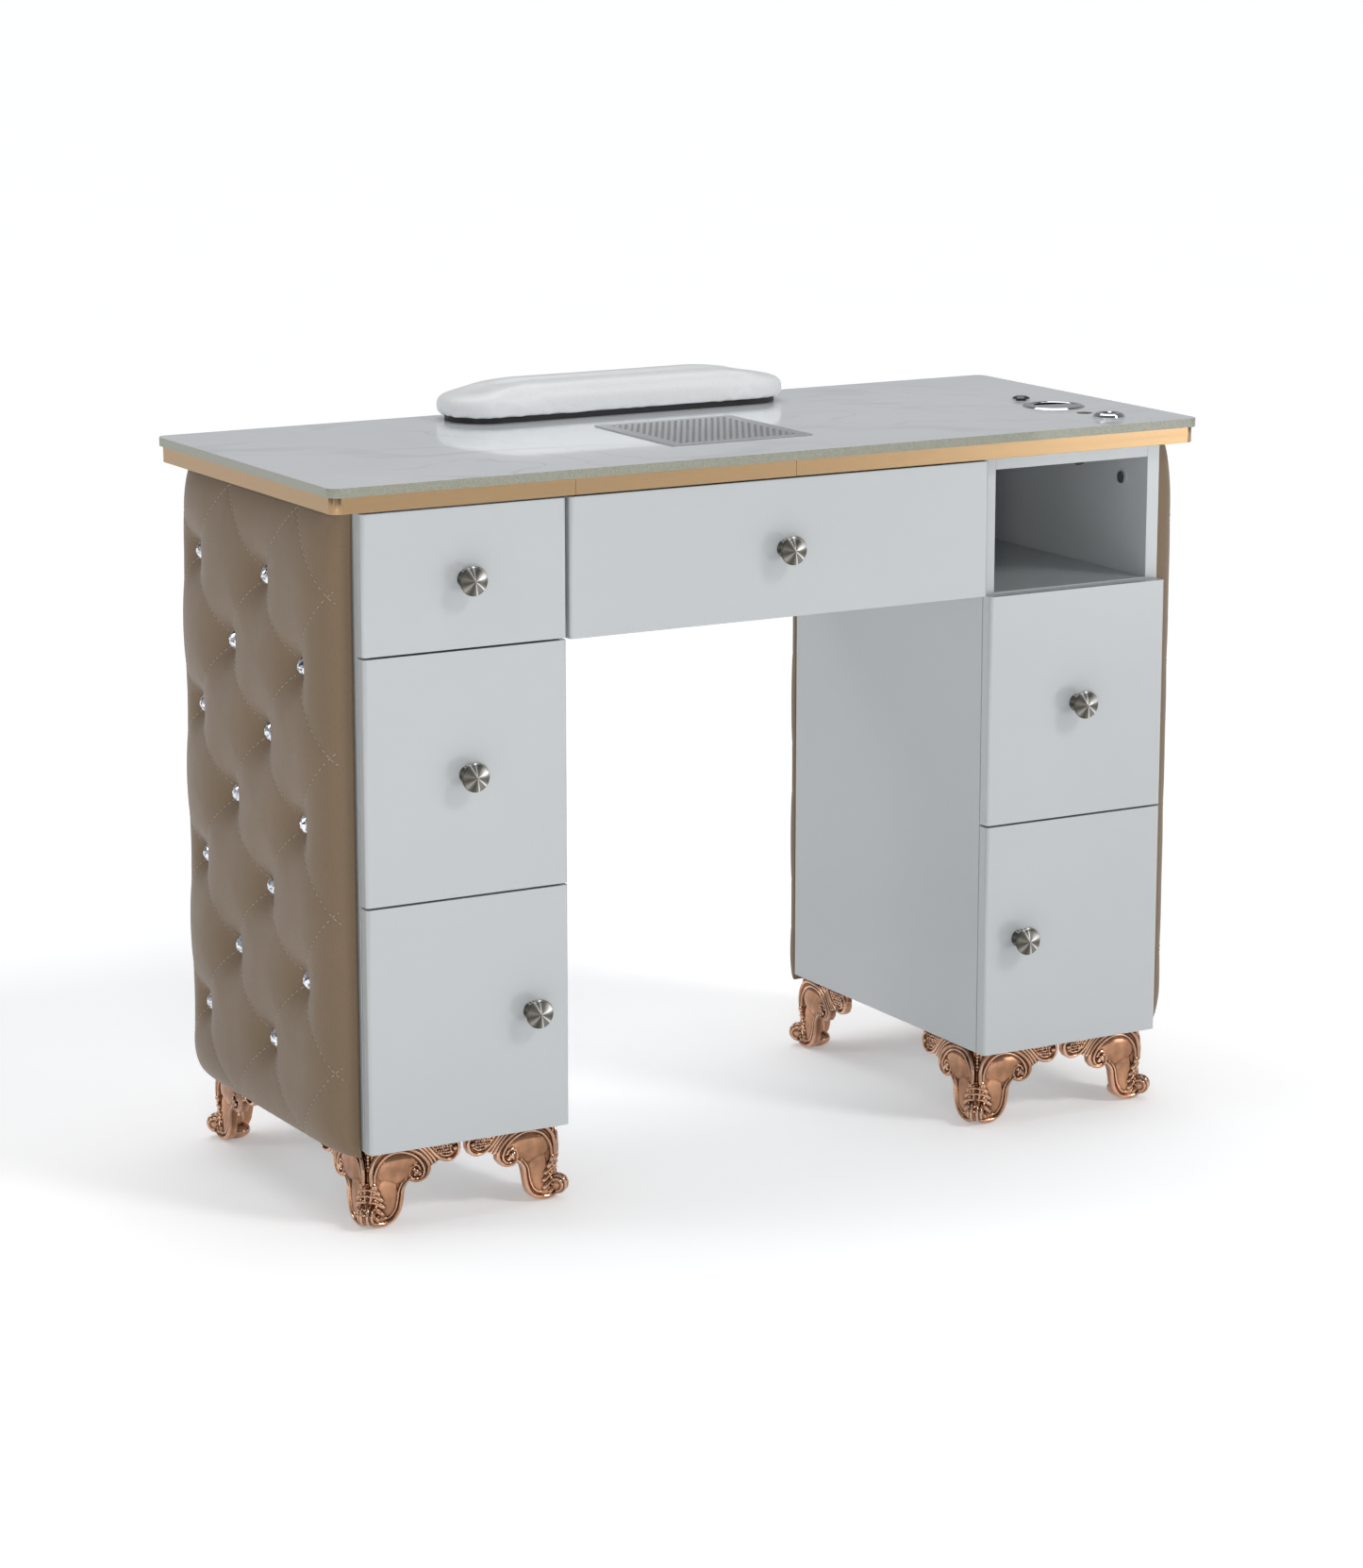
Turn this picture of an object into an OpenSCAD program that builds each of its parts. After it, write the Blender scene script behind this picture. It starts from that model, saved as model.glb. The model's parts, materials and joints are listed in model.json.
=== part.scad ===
// Two-pedestal manicure table: stone top on a gold-trimmed board, drawers and doors,
// an open cubby, an extractor grille, tufted side and back panels and cast corner feet.
// Z is up, the floor is z = 0, the drawer fronts face -Y.

/* [Top] */
// Length of the stone slab
top_l = 1100; // [1060:5:1160]
// Depth of the stone slab
top_w = 455; // [450:1:464]
// Thickness of the stone slab
top_t = 10; // [8:1:12]
// Height of the slab's upper face above the floor
top_z = 812; // [806:1:830]
// Corner radius of the slab
top_r = 12; // [8:1:20]
// Height of the gold band and the board behind it
band_h = 18; // [16:1:20]
// Thickness of the gold band
band_t = 2; // [1.5:0.5:3]
// Setback of the band from the slab's edge
band_in = 3.5; // [2:0.5:6]
// Place of the left joint in the front band
joint_a = -262; // [-280:1:-240]
// Place of the right joint in the front band
joint_b = 12; // [0:1:30]

/* [Pedestals] */
// Setback of a pedestal's outer face from the slab's end
ped_in = 38; // [38:1:44]
// Width of a pedestal
ped_w = 241; // [235:1:246]
// Thickness of the carcass boards
board_t = 16; // [15:0.5:17]
// Thickness of the drawer and door fronts
front_t = 15; // [14:0.5:15]
// Thickness of a pedestal's back board
back_t = 8; // [6:1:9]
// Height of the feet
foot_h = 89; // [85:1:92]
// Height of the joint between door and middle drawer
split_low = 360; // [350:1:366]
// Height of the joint between middle and top drawer
split_high = 628; // [626:1:632]
// Gap between neighbouring fronts
front_gap = 2.4; // [2:0.1:3]

/* [Padding] */
// Thickness of the tufted side panels
pad_t = 42; // [38:1:44]
// Thickness of the tufted back panels
pad_back_t = 28; // [24:1:28]
// Spacing of the tufts along a panel
tuft_y = 88; // [84:1:90]
// Spacing of the tuft rows, one above the other
tuft_z = 86; // [84:1:88]

/* [Hardware] */
// Diameter of a knob's face
knob_d = 32; // [28:1:34]
// Length of a knob
knob_l = 24; // [22:1:24]
// Side of the square extractor grille along X
grille_x = 178; // [170:2:190]
// Side of the extractor grille along Y
grille_y = 182; // [174:2:190]
// Pitch of the grille holes in a row
hole_pitch = 8; // [8:0.5:12]
// Width of a grille hole
hole_d = 4.6; // [3:0.1:5]
// Diameter of the plain cable hole
cable_hole_d = 19; // [16:1:20]
// Diameter of the cable grommet
grommet_d = 73; // [71:1:76]

/* [Armrest] */
// Length of the armrest
arm_l = 438; // [420:2:460]
// Depth of the armrest
arm_w = 106; // [100:1:108]
// Thickness of the armrest cushion
arm_t = 34; // [30:1:38]

/* [Hidden] */
// piece to draw
fit = 0.3;
depth = 474;
y_front = -depth/2 + knob_l;
y_back = depth/2;
cub_gap = 2;
cy0 = y_front + front_t + cub_gap;
cy1 = y_back - pad_back_t;
top_y = 7;
slab_z = top_z - top_t;
carc_z = slab_z - band_h;
px1 = top_l/2 - ped_in;
px0 = px1 - ped_w;
in0 = px0 + board_t;
in1 = px1 - board_t;
ped_cx = (px0 + px1)/2;
back_y0 = cy1 - back_t;
front_top = carc_z - 2.5;
center_half = px0 - 4.5;
shelf_z0 = split_low - board_t/2;
cubby_z1 = split_high;
cubby_z0 = cubby_z1 - board_t;
grille_cy = -33;
open_x = grille_x - 8;
open_y = grille_y - 8;
fit_x = 460;
switch_y = 12;
grommet_y = -56;
hole_y = -119;
lamp_y = -168;
stem_r = 6;
lamp_r = 10.5;
seam = 0.3;
cut_x0 = fit_x - 35;
cut_x1 = fit_x + 35;
cut_y0 = hole_y + 24;
cut_y1 = switch_y + 13;
lamp_bore_r = 7.5;
collar_r = 29.7;
rail_w = 13;
rail_len = 350;
box_len = 366;
wall_t = 12;
floor_t = 5;
knob_in = 46;
hinge_in = 22.5;
cup_r = 17.5;
pad_z0 = foot_h - 7;
pad_z1 = carc_z - 1;
pad_y0 = cy0 + 4;
tuft_first = 153;
tuft_top = top_z - 33;
crystal_r = 11;
arm_y = 180;
round_n = 48;
$fn = 32;

// block between two corners
module block(a, b) {
  translate(a) cube([b[0] - a[0], b[1] - a[1], b[2] - a[2]]);
}

// rectangle about the origin with round corners
module round_rect(w, d, r) {
  square([w - 2*r, d], center = true);
  square([w, d - 2*r], center = true);
  for (sx = [-1, 1])
    for (sy = [-1, 1])
      translate([sx*(w/2 - r), sy*(d/2 - r)]) circle(r = r, $fn = round_n);
}

// mirrors its children to the other side when s is -1
module side(s) {
  if (s < 0) mirror([1, 0, 0]) children();
  else children();
}

// holes through the top for the fittings, each down to z0
module fitting_holes(z0) {
  translate([fit_x, hole_y, z0]) cylinder(r = cable_hole_d/2, h = 100, $fn = round_n);
  translate([fit_x, grommet_y, z0]) cylinder(r = collar_r + 0.3, h = 100, $fn = round_n);
}

// holes down through the slab and board for the switch, the lamp socket and the extractor
module upper_holes(z0) {
  translate([fit_x, lamp_y, z0]) cylinder(r = lamp_r + 0.1, h = 100, $fn = round_n);
  translate([fit_x, switch_y, z0]) cylinder(r = stem_r + 0.08, h = 100, $fn = round_n);
  translate([-open_x/2, grille_cy - open_y/2, z0]) cube([open_x, open_y, 100]);
}

module top_slab() {
  color([0.87, 0.88, 0.88])
  difference() {
    translate([0, top_y, slab_z]) linear_extrude(top_t) round_rect(top_l, top_w, top_r);
    fitting_holes(slab_z - 1);
    upper_holes(slab_z - 1);
  }
}

module band_plan(inset) {
  translate([0, top_y]) round_rect(top_l - 2*inset, top_w - 2*inset, top_r - inset + 2);
}

// plan of one strip of the built-up board under the slab, a hair short of its neighbours
module strip(x0, x1, y0, y1) {
  intersection() {
    band_plan(band_in + band_t + 0.15);
    translate([x0 + seam/2, y0 + seam/2]) square([x1 - x0 - seam, y1 - y0 - seam]);
  }
}

// strips round two cut-outs, one for the extractor and one for the grommet and the switch
module sub_top() {
  color([0.85, 0.86, 0.86])
  translate([0, 0, carc_z]) {
    linear_extrude(band_h) strip(-top_l, -open_x/2, -top_w, top_w);
    linear_extrude(band_h) strip(-open_x/2, open_x/2, -top_w, grille_cy - open_y/2);
    linear_extrude(band_h) strip(-open_x/2, open_x/2, grille_cy + open_y/2, top_w);
    linear_extrude(band_h) strip(open_x/2, cut_x0, -top_w, top_w);
    linear_extrude(band_h) strip(cut_x1, top_l, -top_w, top_w);
    linear_extrude(band_h) strip(cut_x0, cut_x1, cut_y1, top_w);
    difference() {
      linear_extrude(band_h) strip(cut_x0, cut_x1, -top_w, cut_y0);
      translate([fit_x, hole_y, -1]) cylinder(r = cable_hole_d/2, h = 100, $fn = round_n);
      translate([fit_x, lamp_y, -1]) cylinder(r = lamp_r + 0.1, h = 100, $fn = round_n);
    }
  }
}

// the gold band between two x positions at the front and two at the back
module band_piece(x0, x1) {
  color([0.76, 0.55, 0.34])
  translate([0, 0, carc_z]) linear_extrude(band_h) intersection() {
    difference() {
      band_plan(band_in);
      band_plan(band_in + band_t);
    }
    translate([x0, -top_w]) square([x1 - x0, 2*top_w]);
  }
}

module trim_left() {
  band_piece(-top_l, joint_a);
}

// middle front strip, with a matching one along the back
module trim_mid() {
  band_piece(joint_a + 0.4, joint_b - 0.4);
}

module trim_right() {
  band_piece(joint_b, top_l);
}

// pedestal boards, drawn on the right and mirrored for the left
module side_out(s) {
  color([0.84, 0.85, 0.86]) side(s) difference() {
    block([in1, cy0, foot_h], [px1, cy1, carc_z]);
    if (s > 0) bolt_hole();
  }
}

module side_in(s) {
  color([0.84, 0.85, 0.86]) side(s) block([px0, cy0, foot_h], [in0, cy1, carc_z]);
}

module floor_board(s) {
  color([0.84, 0.85, 0.86]) side(s)
    block([in0, cy0, foot_h], [in1, back_y0, foot_h + board_t]);
}

module back_board(s) {
  color([0.84, 0.85, 0.86]) side(s) block([in0, back_y0, foot_h], [in1, cy1, carc_z]);
}

module shelf_board(s) {
  color([0.84, 0.85, 0.86]) side(s)
    block([in0, cy0, shelf_z0], [in1, back_y0, shelf_z0 + board_t]);
}

module lid_board(s) {
  color([0.84, 0.85, 0.86]) difference() {
    side(s) block([in0, cy0, carc_z - board_t], [in1, back_y0, carc_z]);
    if (s > 0) fitting_holes(carc_z - board_t - 1);
  }
}

module l_side_out() { side_out(-1); }
module l_side_in() { side_in(-1); }
module l_bottom() { floor_board(-1); }
module l_top() { lid_board(-1); }
module l_back() { back_board(-1); }
module l_shelf() { shelf_board(-1); }
module r_side_out() { side_out(1); }
module r_side_in() { side_in(1); }
module r_bottom() { floor_board(1); }
module r_top() { lid_board(1); }
module r_back() { back_board(1); }
module r_shelf() { shelf_board(1); }

module r_cubby_floor() {
  color([0.84, 0.85, 0.86]) block([in0, cy0, cubby_z0], [in1, back_y0, cubby_z1]);
}

module apron() {
  color([0.84, 0.85, 0.86])
    block([-px0, cy1 - board_t, split_high], [px0, cy1, carc_z]);
}

// foot: two scrolled wings at a right angle, a shield-faced leg and a curled toe;
// its corner is at the origin and the wings run along +X and +Y
wing_l = 116;
wing_t = 9;
volute_u = 64;
volute_z = foot_h - 28;
volute_r = 12.5;
fan_u = 98;
fan_z = foot_h - 7;
fan_r = 17;
toe_r = 10.5;
toe_z = 16.5;
toe_in = 3.5;
sole_in = 17;
sole_r = 12;

function arc(cx, cz, r, a0, a1, n) =
  [for (i = [0:n]) [cx + r*cos(a0 + (a1 - a0)*i/n), cz + r*sin(a0 + (a1 - a0)*i/n)]];

module wing_outline() {
  polygon(concat([[0, foot_h - 3], [0, 9], [6, 2], [14, 0.5], [26, 3], [36, 11], [43, 21],
    [47, 37], [50, 49], [55, 52]], arc(volute_u, volute_z, volute_r, 225, 375, 8),
    [[80, 68], [85, 65]], arc(fan_u, fan_z, fan_r, 250, 345, 6),
    [[wing_l, foot_h - 8], [wing_l, foot_h - 3]]));
}

module wing() {
  translate([0, wing_t, 0]) rotate([90, 0, 0]) linear_extrude(wing_t) wing_outline();
  translate([volute_u, 0, volute_z]) rotate([90, 0, 0]) cylinder(r = volute_r - 1.5, h = 2);
  translate([fan_u, 0, fan_z - 8]) rotate([90, 0, 0]) cylinder(r = 7, h = 2);
}

module foot() {
  translate([0, 0, foot_h - 3]) cube([wing_l, 30, 3]);
  translate([0, 30, foot_h - 3]) cube([30, wing_l - 30, 3]);
  wing();
  mirror([1, -1, 0]) wing();
  translate([0, 0, 30]) cube([20, 20, foot_h - 33]);
  translate([sole_in, sole_in, 0]) cylinder(r = sole_r, h = 34);
  translate([toe_in, toe_in, toe_z]) sphere(r = toe_r);
  translate([4, 4, 6]) cylinder(r = 8.5, h = 22);
}

module feet(s) {
  color([0.76, 0.5, 0.38]) side(s) {
    translate([px0, cy0, 0]) foot();
    translate([px1, cy0, 0]) mirror([1, 0, 0]) foot();
    translate([px0, cy1, 0]) mirror([0, 1, 0]) foot();
    translate([px1, cy1, 0]) mirror([0, 1, 0]) mirror([1, 0, 0]) foot();
  }
}

module feet_left() { feet(-1); }
module feet_right() { feet(1); }

// outline of a padded panel: flat behind, rolled at both ends; u runs along it
function roll(u, du, t, t_end, n, dir) =
  [for (i = [0:n]) let (a = 90*i/n)
    dir > 0 ? [u - du*(1 - sin(a)), t_end + (t - t_end)*cos(a)]
            : [u + du*(1 - cos(a)), t_end + (t - t_end)*sin(a)]];

module pad_outline(u0, u1, du0, du1, t, e0, e1) {
  polygon(concat([[u0, 0]], roll(u0, du0, t, e0, 6, -1), roll(u1, du1, t, e1, 6, 1),
    [[u1, 0]]));
}

// padded side panel on the right; x is outward
module pad_side_solid() {
  intersection() {
    translate([px1, 0, pad_z0]) linear_extrude(pad_z1 - pad_z0)
      mirror([1, -1, 0]) pad_outline(pad_y0, cy1, 34, 70, pad_t, 8, 8);
    translate([px1, cy1, 0]) rotate([90, 0, 0]) linear_extrude(cy1 - pad_y0)
      mirror([1, -1, 0]) pad_outline(pad_z0, pad_z1, 50, 85, pad_t, 10, 20);
  }
}

// padded back panel of the right pedestal; y is outward
module pad_back_solid() {
  intersection() {
    translate([0, cy1, pad_z0]) linear_extrude(pad_z1 - pad_z0)
      pad_outline(px0, px1, 18, 20, pad_back_t, 10, 8);
    translate([px0, cy1, 0]) rotate([90, 0, 90]) linear_extrude(ped_w)
      mirror([1, -1, 0]) pad_outline(pad_z0, pad_z1, 36, 50, pad_back_t, 10, 17);
  }
}

// tuft places on a side panel, as [along, height]
side_tufts = [for (c = [0:3]) for (r = [0:3]) if (!(c % 2 == 1 && r == 3))
  [tuft_first - c*tuft_y, tuft_top - tuft_z*(c % 2 == 0 ? 1 + 2*r : 2 + 2*r)]];
back_tufts = [for (c = [0:2]) for (r = [0:3]) if (!(c == 1 && r == 3))
  [ped_cx + (c - 1)*tuft_y, tuft_top - tuft_z*(c != 1 ? 1 + 2*r : 2 + 2*r)]];
pocket_d = 17;
back_pocket_d = 11;

module pad_side(s) {
  color([0.52, 0.45, 0.38]) side(s) difference() {
    pad_side_solid();
    for (p = side_tufts)
      translate([px1 + pad_t - pocket_d, p[0], p[1]]) rotate([0, 90, 0])
        cylinder(r = crystal_r + 2.5, h = 20, $fn = 8);
  }
}

module pad_back(s) {
  color([0.52, 0.45, 0.38]) side(s) difference() {
    pad_back_solid();
    for (p = back_tufts)
      translate([p[0], cy1 + pad_back_t - back_pocket_d, p[1]]) rotate([-90, 0, 0])
        cylinder(r = crystal_r + 2.5, h = 20, $fn = 8);
  }
}

module pad_left() { pad_side(-1); }
module pad_right() { pad_side(1); }
module pad_back_left() { pad_back(-1); }
module pad_back_right() { pad_back(1); }

module crystal() {
  cylinder(r = crystal_r, h = 2.5, $fn = 8);
  translate([0, 0, 2.5]) cylinder(r1 = crystal_r, r2 = 5, h = 3.5, $fn = 8);
}

module crystals() {
  color([0.9, 0.92, 0.95]) for (s = [-1, 1]) side(s) {
    for (p = side_tufts)
      translate([px1 + pad_t - pocket_d, p[0], p[1]]) rotate([0, 90, 0]) crystal();
    for (p = back_tufts)
      translate([p[0], cy1 + pad_back_t - back_pocket_d, p[1]]) rotate([-90, 0, 0]) crystal();
  }
}

// drawer runner, fixed channel on a wall; the wall is at x = 0 and the drawer at x = rail_w
module channel() {
  block([0, 0, -18], [1.5, rail_len, 18]);
  block([0, 0, 16.5], [9, rail_len, 18]);
  block([0, 0, -18], [9, rail_len, -16.5]);
}

module slider() {
  block([rail_w - 2, 0, -14], [rail_w, rail_len, 14]);
  block([4, 0, -16], [rail_w - 2, rail_len, -10]);
  block([4, 0, 10], [rail_w - 2, rail_len, 16]);
}

// runner places: wall x, direction the drawer lies in, height
dl1_rail_z = 700;
dl2_rail_z = 480;
dc_rail_z = 666;
rail_y = y_front + front_t + 6;

module pair(x0, x1, z) {
  translate([x0, rail_y, z]) children();
  translate([x1, rail_y, z]) mirror([1, 0, 0]) children();
}

module runners_fixed() {
  color([0.72, 0.73, 0.75]) {
    pair(-in1, -in0, dl1_rail_z) channel();
    pair(-in1, -in0, dl2_rail_z) channel();
    pair(in0, in1, dl2_rail_z) channel();
    pair(-px0, px0, dc_rail_z) channel();
  }
}

// drawer box, open above, with its foremost face against the drawer front
module drawer_box(x0, x1, z0, z1) {
  y0 = y_front + front_t;
  color([0.8, 0.81, 0.82]) difference() {
    block([x0, y0, z0], [x1, y0 + box_len, z1]);
    block([x0 + wall_t, y0 + wall_t, z0 + floor_t], [x1 - wall_t, y0 + box_len - wall_t, z1 + 1]);
  }
}

// front panel with rounded upright edges
edge_r = 4;

module front_panel(x0, x1, z0, z1) {
  color([0.86, 0.87, 0.88]) translate([0, 0, z0]) linear_extrude(z1 - z0) {
    translate([x0, y_front + edge_r]) square([x1 - x0, front_t - edge_r]);
    translate([x0 + edge_r, y_front]) square([x1 - x0 - 2*edge_r, front_t]);
    for (x = [x0 + edge_r, x1 - edge_r])
      translate([x, y_front + edge_r]) circle(r = edge_r, $fn = 32);
  }
}

module knob(x, z) {
  r = knob_d/2;
  color([0.7, 0.69, 0.67]) translate([x, y_front, z]) rotate([90, 0, 0]) rotate_extrude($fn = 36)
    polygon([[0, 0], [10, 0], [9.4, 3], [8.2, 8], [9, knob_l - 11], [r - 1.6, knob_l - 7],
      [r, knob_l - 5.5], [r - 0.6, knob_l - 4], [0, knob_l]]);
}

module dl1_front() { front_panel(-px1, -px0, split_high + front_gap, front_top); }
module dl1_box() { drawer_box(-in1 + rail_w, -in0 - rail_w, 645, 762); }
module dl1_knob() { knob(-ped_cx, (split_high + front_top)/2); }
module dl1_rails() { color([0.72, 0.73, 0.75]) pair(-in1, -in0, dl1_rail_z) slider(); }

module dl2_front() { front_panel(-px1, -px0, split_low + front_gap/2, split_high); }
module dl2_box() { drawer_box(-in1 + rail_w, -in0 - rail_w, 380, 592); }
module dl2_knob() { knob(-ped_cx, (split_low + split_high)/2); }
module dl2_rails() { color([0.72, 0.73, 0.75]) pair(-in1, -in0, dl2_rail_z) slider(); }

module dc_front() { front_panel(-center_half, center_half, split_high, front_top); }
module dc_box() { drawer_box(-px0 + rail_w, px0 - rail_w, 640, 692); }
module dc_knob() { knob(0, (split_high + front_top)/2); }
module dc_rails() { color([0.72, 0.73, 0.75]) pair(-px0, px0, dc_rail_z) slider(); }

module dr_front() { front_panel(px0, px1, split_low + front_gap/2, split_high - 2); }
module dr_box() { drawer_box(in0 + rail_w, in1 - rail_w, 380, 592); }
module dr_knob() { knob(ped_cx, (split_low + split_high)/2); }
module dr_rails() { color([0.72, 0.73, 0.75]) pair(in0, in1, dl2_rail_z) slider(); }

// doors, drawn on the right and mirrored for the left
door_z1 = split_low - front_gap/2;
hinge_zs = [foot_h + 55, split_low - 60];

module door_panel(s) {
  side(s) difference() {
    front_panel(px0, px1, foot_h, door_z1);
    for (z = hinge_zs)
      translate([px1 - hinge_in, y_front + front_t + 1, z]) rotate([90, 0, 0])
        cylinder(r = cup_r + 0.1, h = 12.5, $fn = round_n);
  }
}

module door_cups(s) {
  color([0.75, 0.76, 0.77]) side(s) for (z = hinge_zs) {
    translate([px1 - hinge_in, y_front + front_t, z]) rotate([90, 0, 0])
      cylinder(r = cup_r, h = 11, $fn = round_n);
    translate([px1 - hinge_in - 11, y_front + front_t, z - 24]) cube([15, 1.2, 48]);
  }
}

module doorl_panel() { door_panel(-1); }
module doorl_knob() { knob(-px0 - knob_in, (foot_h + split_low)/2); }
module doorl_cups() { door_cups(-1); }
module doorr_panel() { door_panel(1); }
module doorr_knob() { knob(px0 + knob_in, (foot_h + split_low)/2); }
module doorr_cups() { door_cups(1); }

// cam bolt in the cubby's outer wall
bolt_y = -147;
bolt_z = 738;

module bolt_hole() {
  translate([in1 - 1, bolt_y, bolt_z]) rotate([0, 90, 0]) cylinder(r = 5, h = 10, $fn = 24);
}

module carcass_hardware() {
  color([0.75, 0.76, 0.77]) {
    for (s = [-1, 1]) side(s) for (z = hinge_zs) {
      block([in1 - 3, cy0 + 40, z - 26], [in1, cy0 + 74, z + 26]);
      block([in1 - 17, cy0 + 6, z - 8], [in1 - 3, cy0 + 70, z + 8]);
    }
    translate([in1 - 3, bolt_y, bolt_z]) rotate([0, 90, 0]) cylinder(r = 4.9, h = 11, $fn = 24);
    translate([in1 - 3, bolt_y, bolt_z]) rotate([0, 90, 0]) difference() {
      cylinder(r = 7, h = 3, $fn = 24);
      translate([0, 0, -1]) cylinder(r = 4.9, h = 5, $fn = 24);
    }
  }
}

// dust extractor under the grille
case_z0 = 704;
case_t = 2;
rotor_r = 58;

module extractor_case() {
  hx = open_x/2 + 1;
  hy = open_y/2 + 1;
  color([0.2, 0.2, 0.21]) translate([0, grille_cy, 0]) {
    difference() {
      block([-hx - case_t, -hy - case_t, case_z0], [hx + case_t, hy + case_t, carc_z]);
      block([-hx, -hy, case_z0 + case_t], [hx, hy, carc_z + 1]);
      block([-40, hy - 1, case_z0 + 12], [40, hy + case_t + 1, case_z0 + 52]);
    }
    translate([0, 0, case_z0 + case_t]) cylinder(r = 16, h = 10, $fn = 32);
    translate([0, 0, case_z0 + case_t + 10]) cylinder(r = 3, h = 20, $fn = 24);
  }
}

module fan_rotor() {
  z0 = case_z0 + case_t + 10.5;
  color([0.15, 0.15, 0.16]) translate([0, grille_cy, z0]) difference() {
    union() {
      cylinder(r = 20, h = 24, $fn = 32);
      cylinder(r = rotor_r, h = 2, $fn = round_n);
      for (a = [0:40:320])
        rotate([0, 0, a]) translate([18, -1, 0]) cube([rotor_r - 19, 2, 22]);
    }
    translate([0, 0, -1]) cylinder(r = 3.06, h = 30, $fn = 24);
  }
}

// lift-out grille: perforated plate with a collar that drops into the cut-out
grille_t = 1.2;
hole_cols = floor((grille_x - 28)/hole_pitch);
row_step = hole_pitch*sqrt(3)/2;
hole_rows = floor((grille_y - 28)/row_step);

module grille() {
  color([0.78, 0.79, 0.8]) translate([0, grille_cy, top_z + fit]) {
    linear_extrude(grille_t) difference() {
      square([grille_x, grille_y], center = true);
      for (j = [0:hole_rows])
        for (i = [0:hole_cols - j % 2])
          translate([(i - (hole_cols - j % 2)/2)*hole_pitch, (j - hole_rows/2)*row_step])
            circle(d = hole_d, $fn = 6);
    }
    translate([0, 0, -12]) linear_extrude(12) difference() {
      square([open_x - 1, open_y - 1], center = true);
      square([open_x - 4, open_y - 4], center = true);
    }
  }
}

module grommet_ring() {
  color([0.8, 0.81, 0.83]) translate([fit_x, grommet_y, top_z]) rotate_extrude($fn = round_n)
    polygon([[25, -5], [27, -5], [27, -2], [27, 1.2], [28, 2.2], [33, 2.2], [grommet_d/2, 0.6],
      [grommet_d/2, 0], [collar_r, 0], [collar_r, -22], [25, -22]]);
}

module grommet_cap() {
  color([0.8, 0.81, 0.83]) translate([fit_x, grommet_y, top_z]) difference() {
    translate([0, 0, -1.7]) cylinder(r = 26.92, h = 3.4, $fn = round_n);
    rotate([0, 0, -13]) intersection() {
      translate([0, 0, -3]) cylinder(r = 23.5, h = 10, $fn = round_n);
      translate([-25, 6, -3]) cube([50, 30, 10]);
    }
  }
}

module switch_button() {
  color([0.05, 0.05, 0.06]) translate([fit_x, switch_y, top_z]) {
    translate([0, 0, -12]) cylinder(r = stem_r, h = 14, $fn = 32);
    translate([0, 0, 1.9]) cylinder(r = 10.4, h = 1, $fn = 32);
    translate([0, 0, 2.9]) cylinder(r1 = 10.4, r2 = 6.4, h = 1.7, $fn = 32);
  }
}

module lamp_socket() {
  color([0.8, 0.81, 0.83]) translate([fit_x, lamp_y, top_z]) rotate_extrude($fn = round_n)
    polygon([[lamp_bore_r, -18], [lamp_r, -18], [lamp_r, 0], [18.5, 0], [18.5, 2.2], [17, 4.6],
      [14, 6], [11, 6], [lamp_bore_r, 4.8]]);
}

// wires tied up under the cubby ceiling: a plug block, a straight run and two hanging loops
wire_r = 1.3;
wire_y = -143;

module cubby_wires() {
  zc = carc_z - board_t;
  color([0.08, 0.06, 0.06]) {
    block([396, wire_y - 6, zc - 9], [414, wire_y + 6, zc]);
    translate([410, wire_y, zc - 3]) rotate([0, 90, 0]) cylinder(r = wire_r, h = 38, $fn = 16);
    translate([440, wire_y, zc - 3]) rotate([90, 0, 0]) rotate_extrude(angle = -180, $fn = 32)
      translate([7, 0]) circle(r = wire_r, $fn = 16);
    translate([441, wire_y + 6, zc - 2]) rotate([90, 0, 0]) rotate_extrude(angle = -180, $fn = 32)
      translate([10, 0]) circle(r = wire_r, $fn = 16);
    block([428, wire_y - 3, zc - 3], [454, wire_y + 9, zc]);
  }
}

module arm_plan(inset) {
  round_rect(arm_l - 2*inset, arm_w - 2*inset, arm_w/2 - inset - 0.5);
}

module arm_base() {
  color([0.05, 0.05, 0.05]) translate([0, arm_y, top_z + fit]) linear_extrude(6) arm_plan(7);
}

module arm_cushion() {
  z = top_z + fit + 6;
  color([0.93, 0.93, 0.92]) translate([0, arm_y, z]) {
    linear_extrude(5) arm_plan(2.5);
    translate([0, 0, 5]) linear_extrude(arm_t - 15) arm_plan(0);
    translate([0, 0, arm_t - 10]) linear_extrude(6) arm_plan(4);
    translate([0, 0, arm_t - 4]) linear_extrude(4) arm_plan(11);
  }
}

top_slab();
sub_top();
trim_left();
trim_mid();
trim_right();
l_side_out();
l_side_in();
l_bottom();
l_top();
l_back();
l_shelf();
r_side_out();
r_side_in();
r_bottom();
r_top();
r_back();
r_shelf();
r_cubby_floor();
apron();
feet_left();
feet_right();
pad_left();
pad_right();
pad_back_left();
pad_back_right();
crystals();
runners_fixed();
carcass_hardware();
extractor_case();
grommet_ring();
lamp_socket();
cubby_wires();
dl1_front();
dl1_box();
dl1_knob();
dl1_rails();
dl2_front();
dl2_box();
dl2_knob();
dl2_rails();
dc_front();
dc_box();
dc_knob();
dc_rails();
dr_front();
dr_box();
dr_knob();
dr_rails();
doorl_panel();
doorl_knob();
doorl_cups();
doorr_panel();
doorr_knob();
doorr_cups();
fan_rotor();
grille();
grommet_cap();
switch_button();
arm_cushion();
arm_base();
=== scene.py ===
"""Looks for the manicure table: materials, lights and the pieces that plain solids can't show."""
import json
import math
import random

import bmesh
import bpy
import numpy as np
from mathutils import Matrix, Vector
from mathutils.bvhtree import BVHTree


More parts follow.
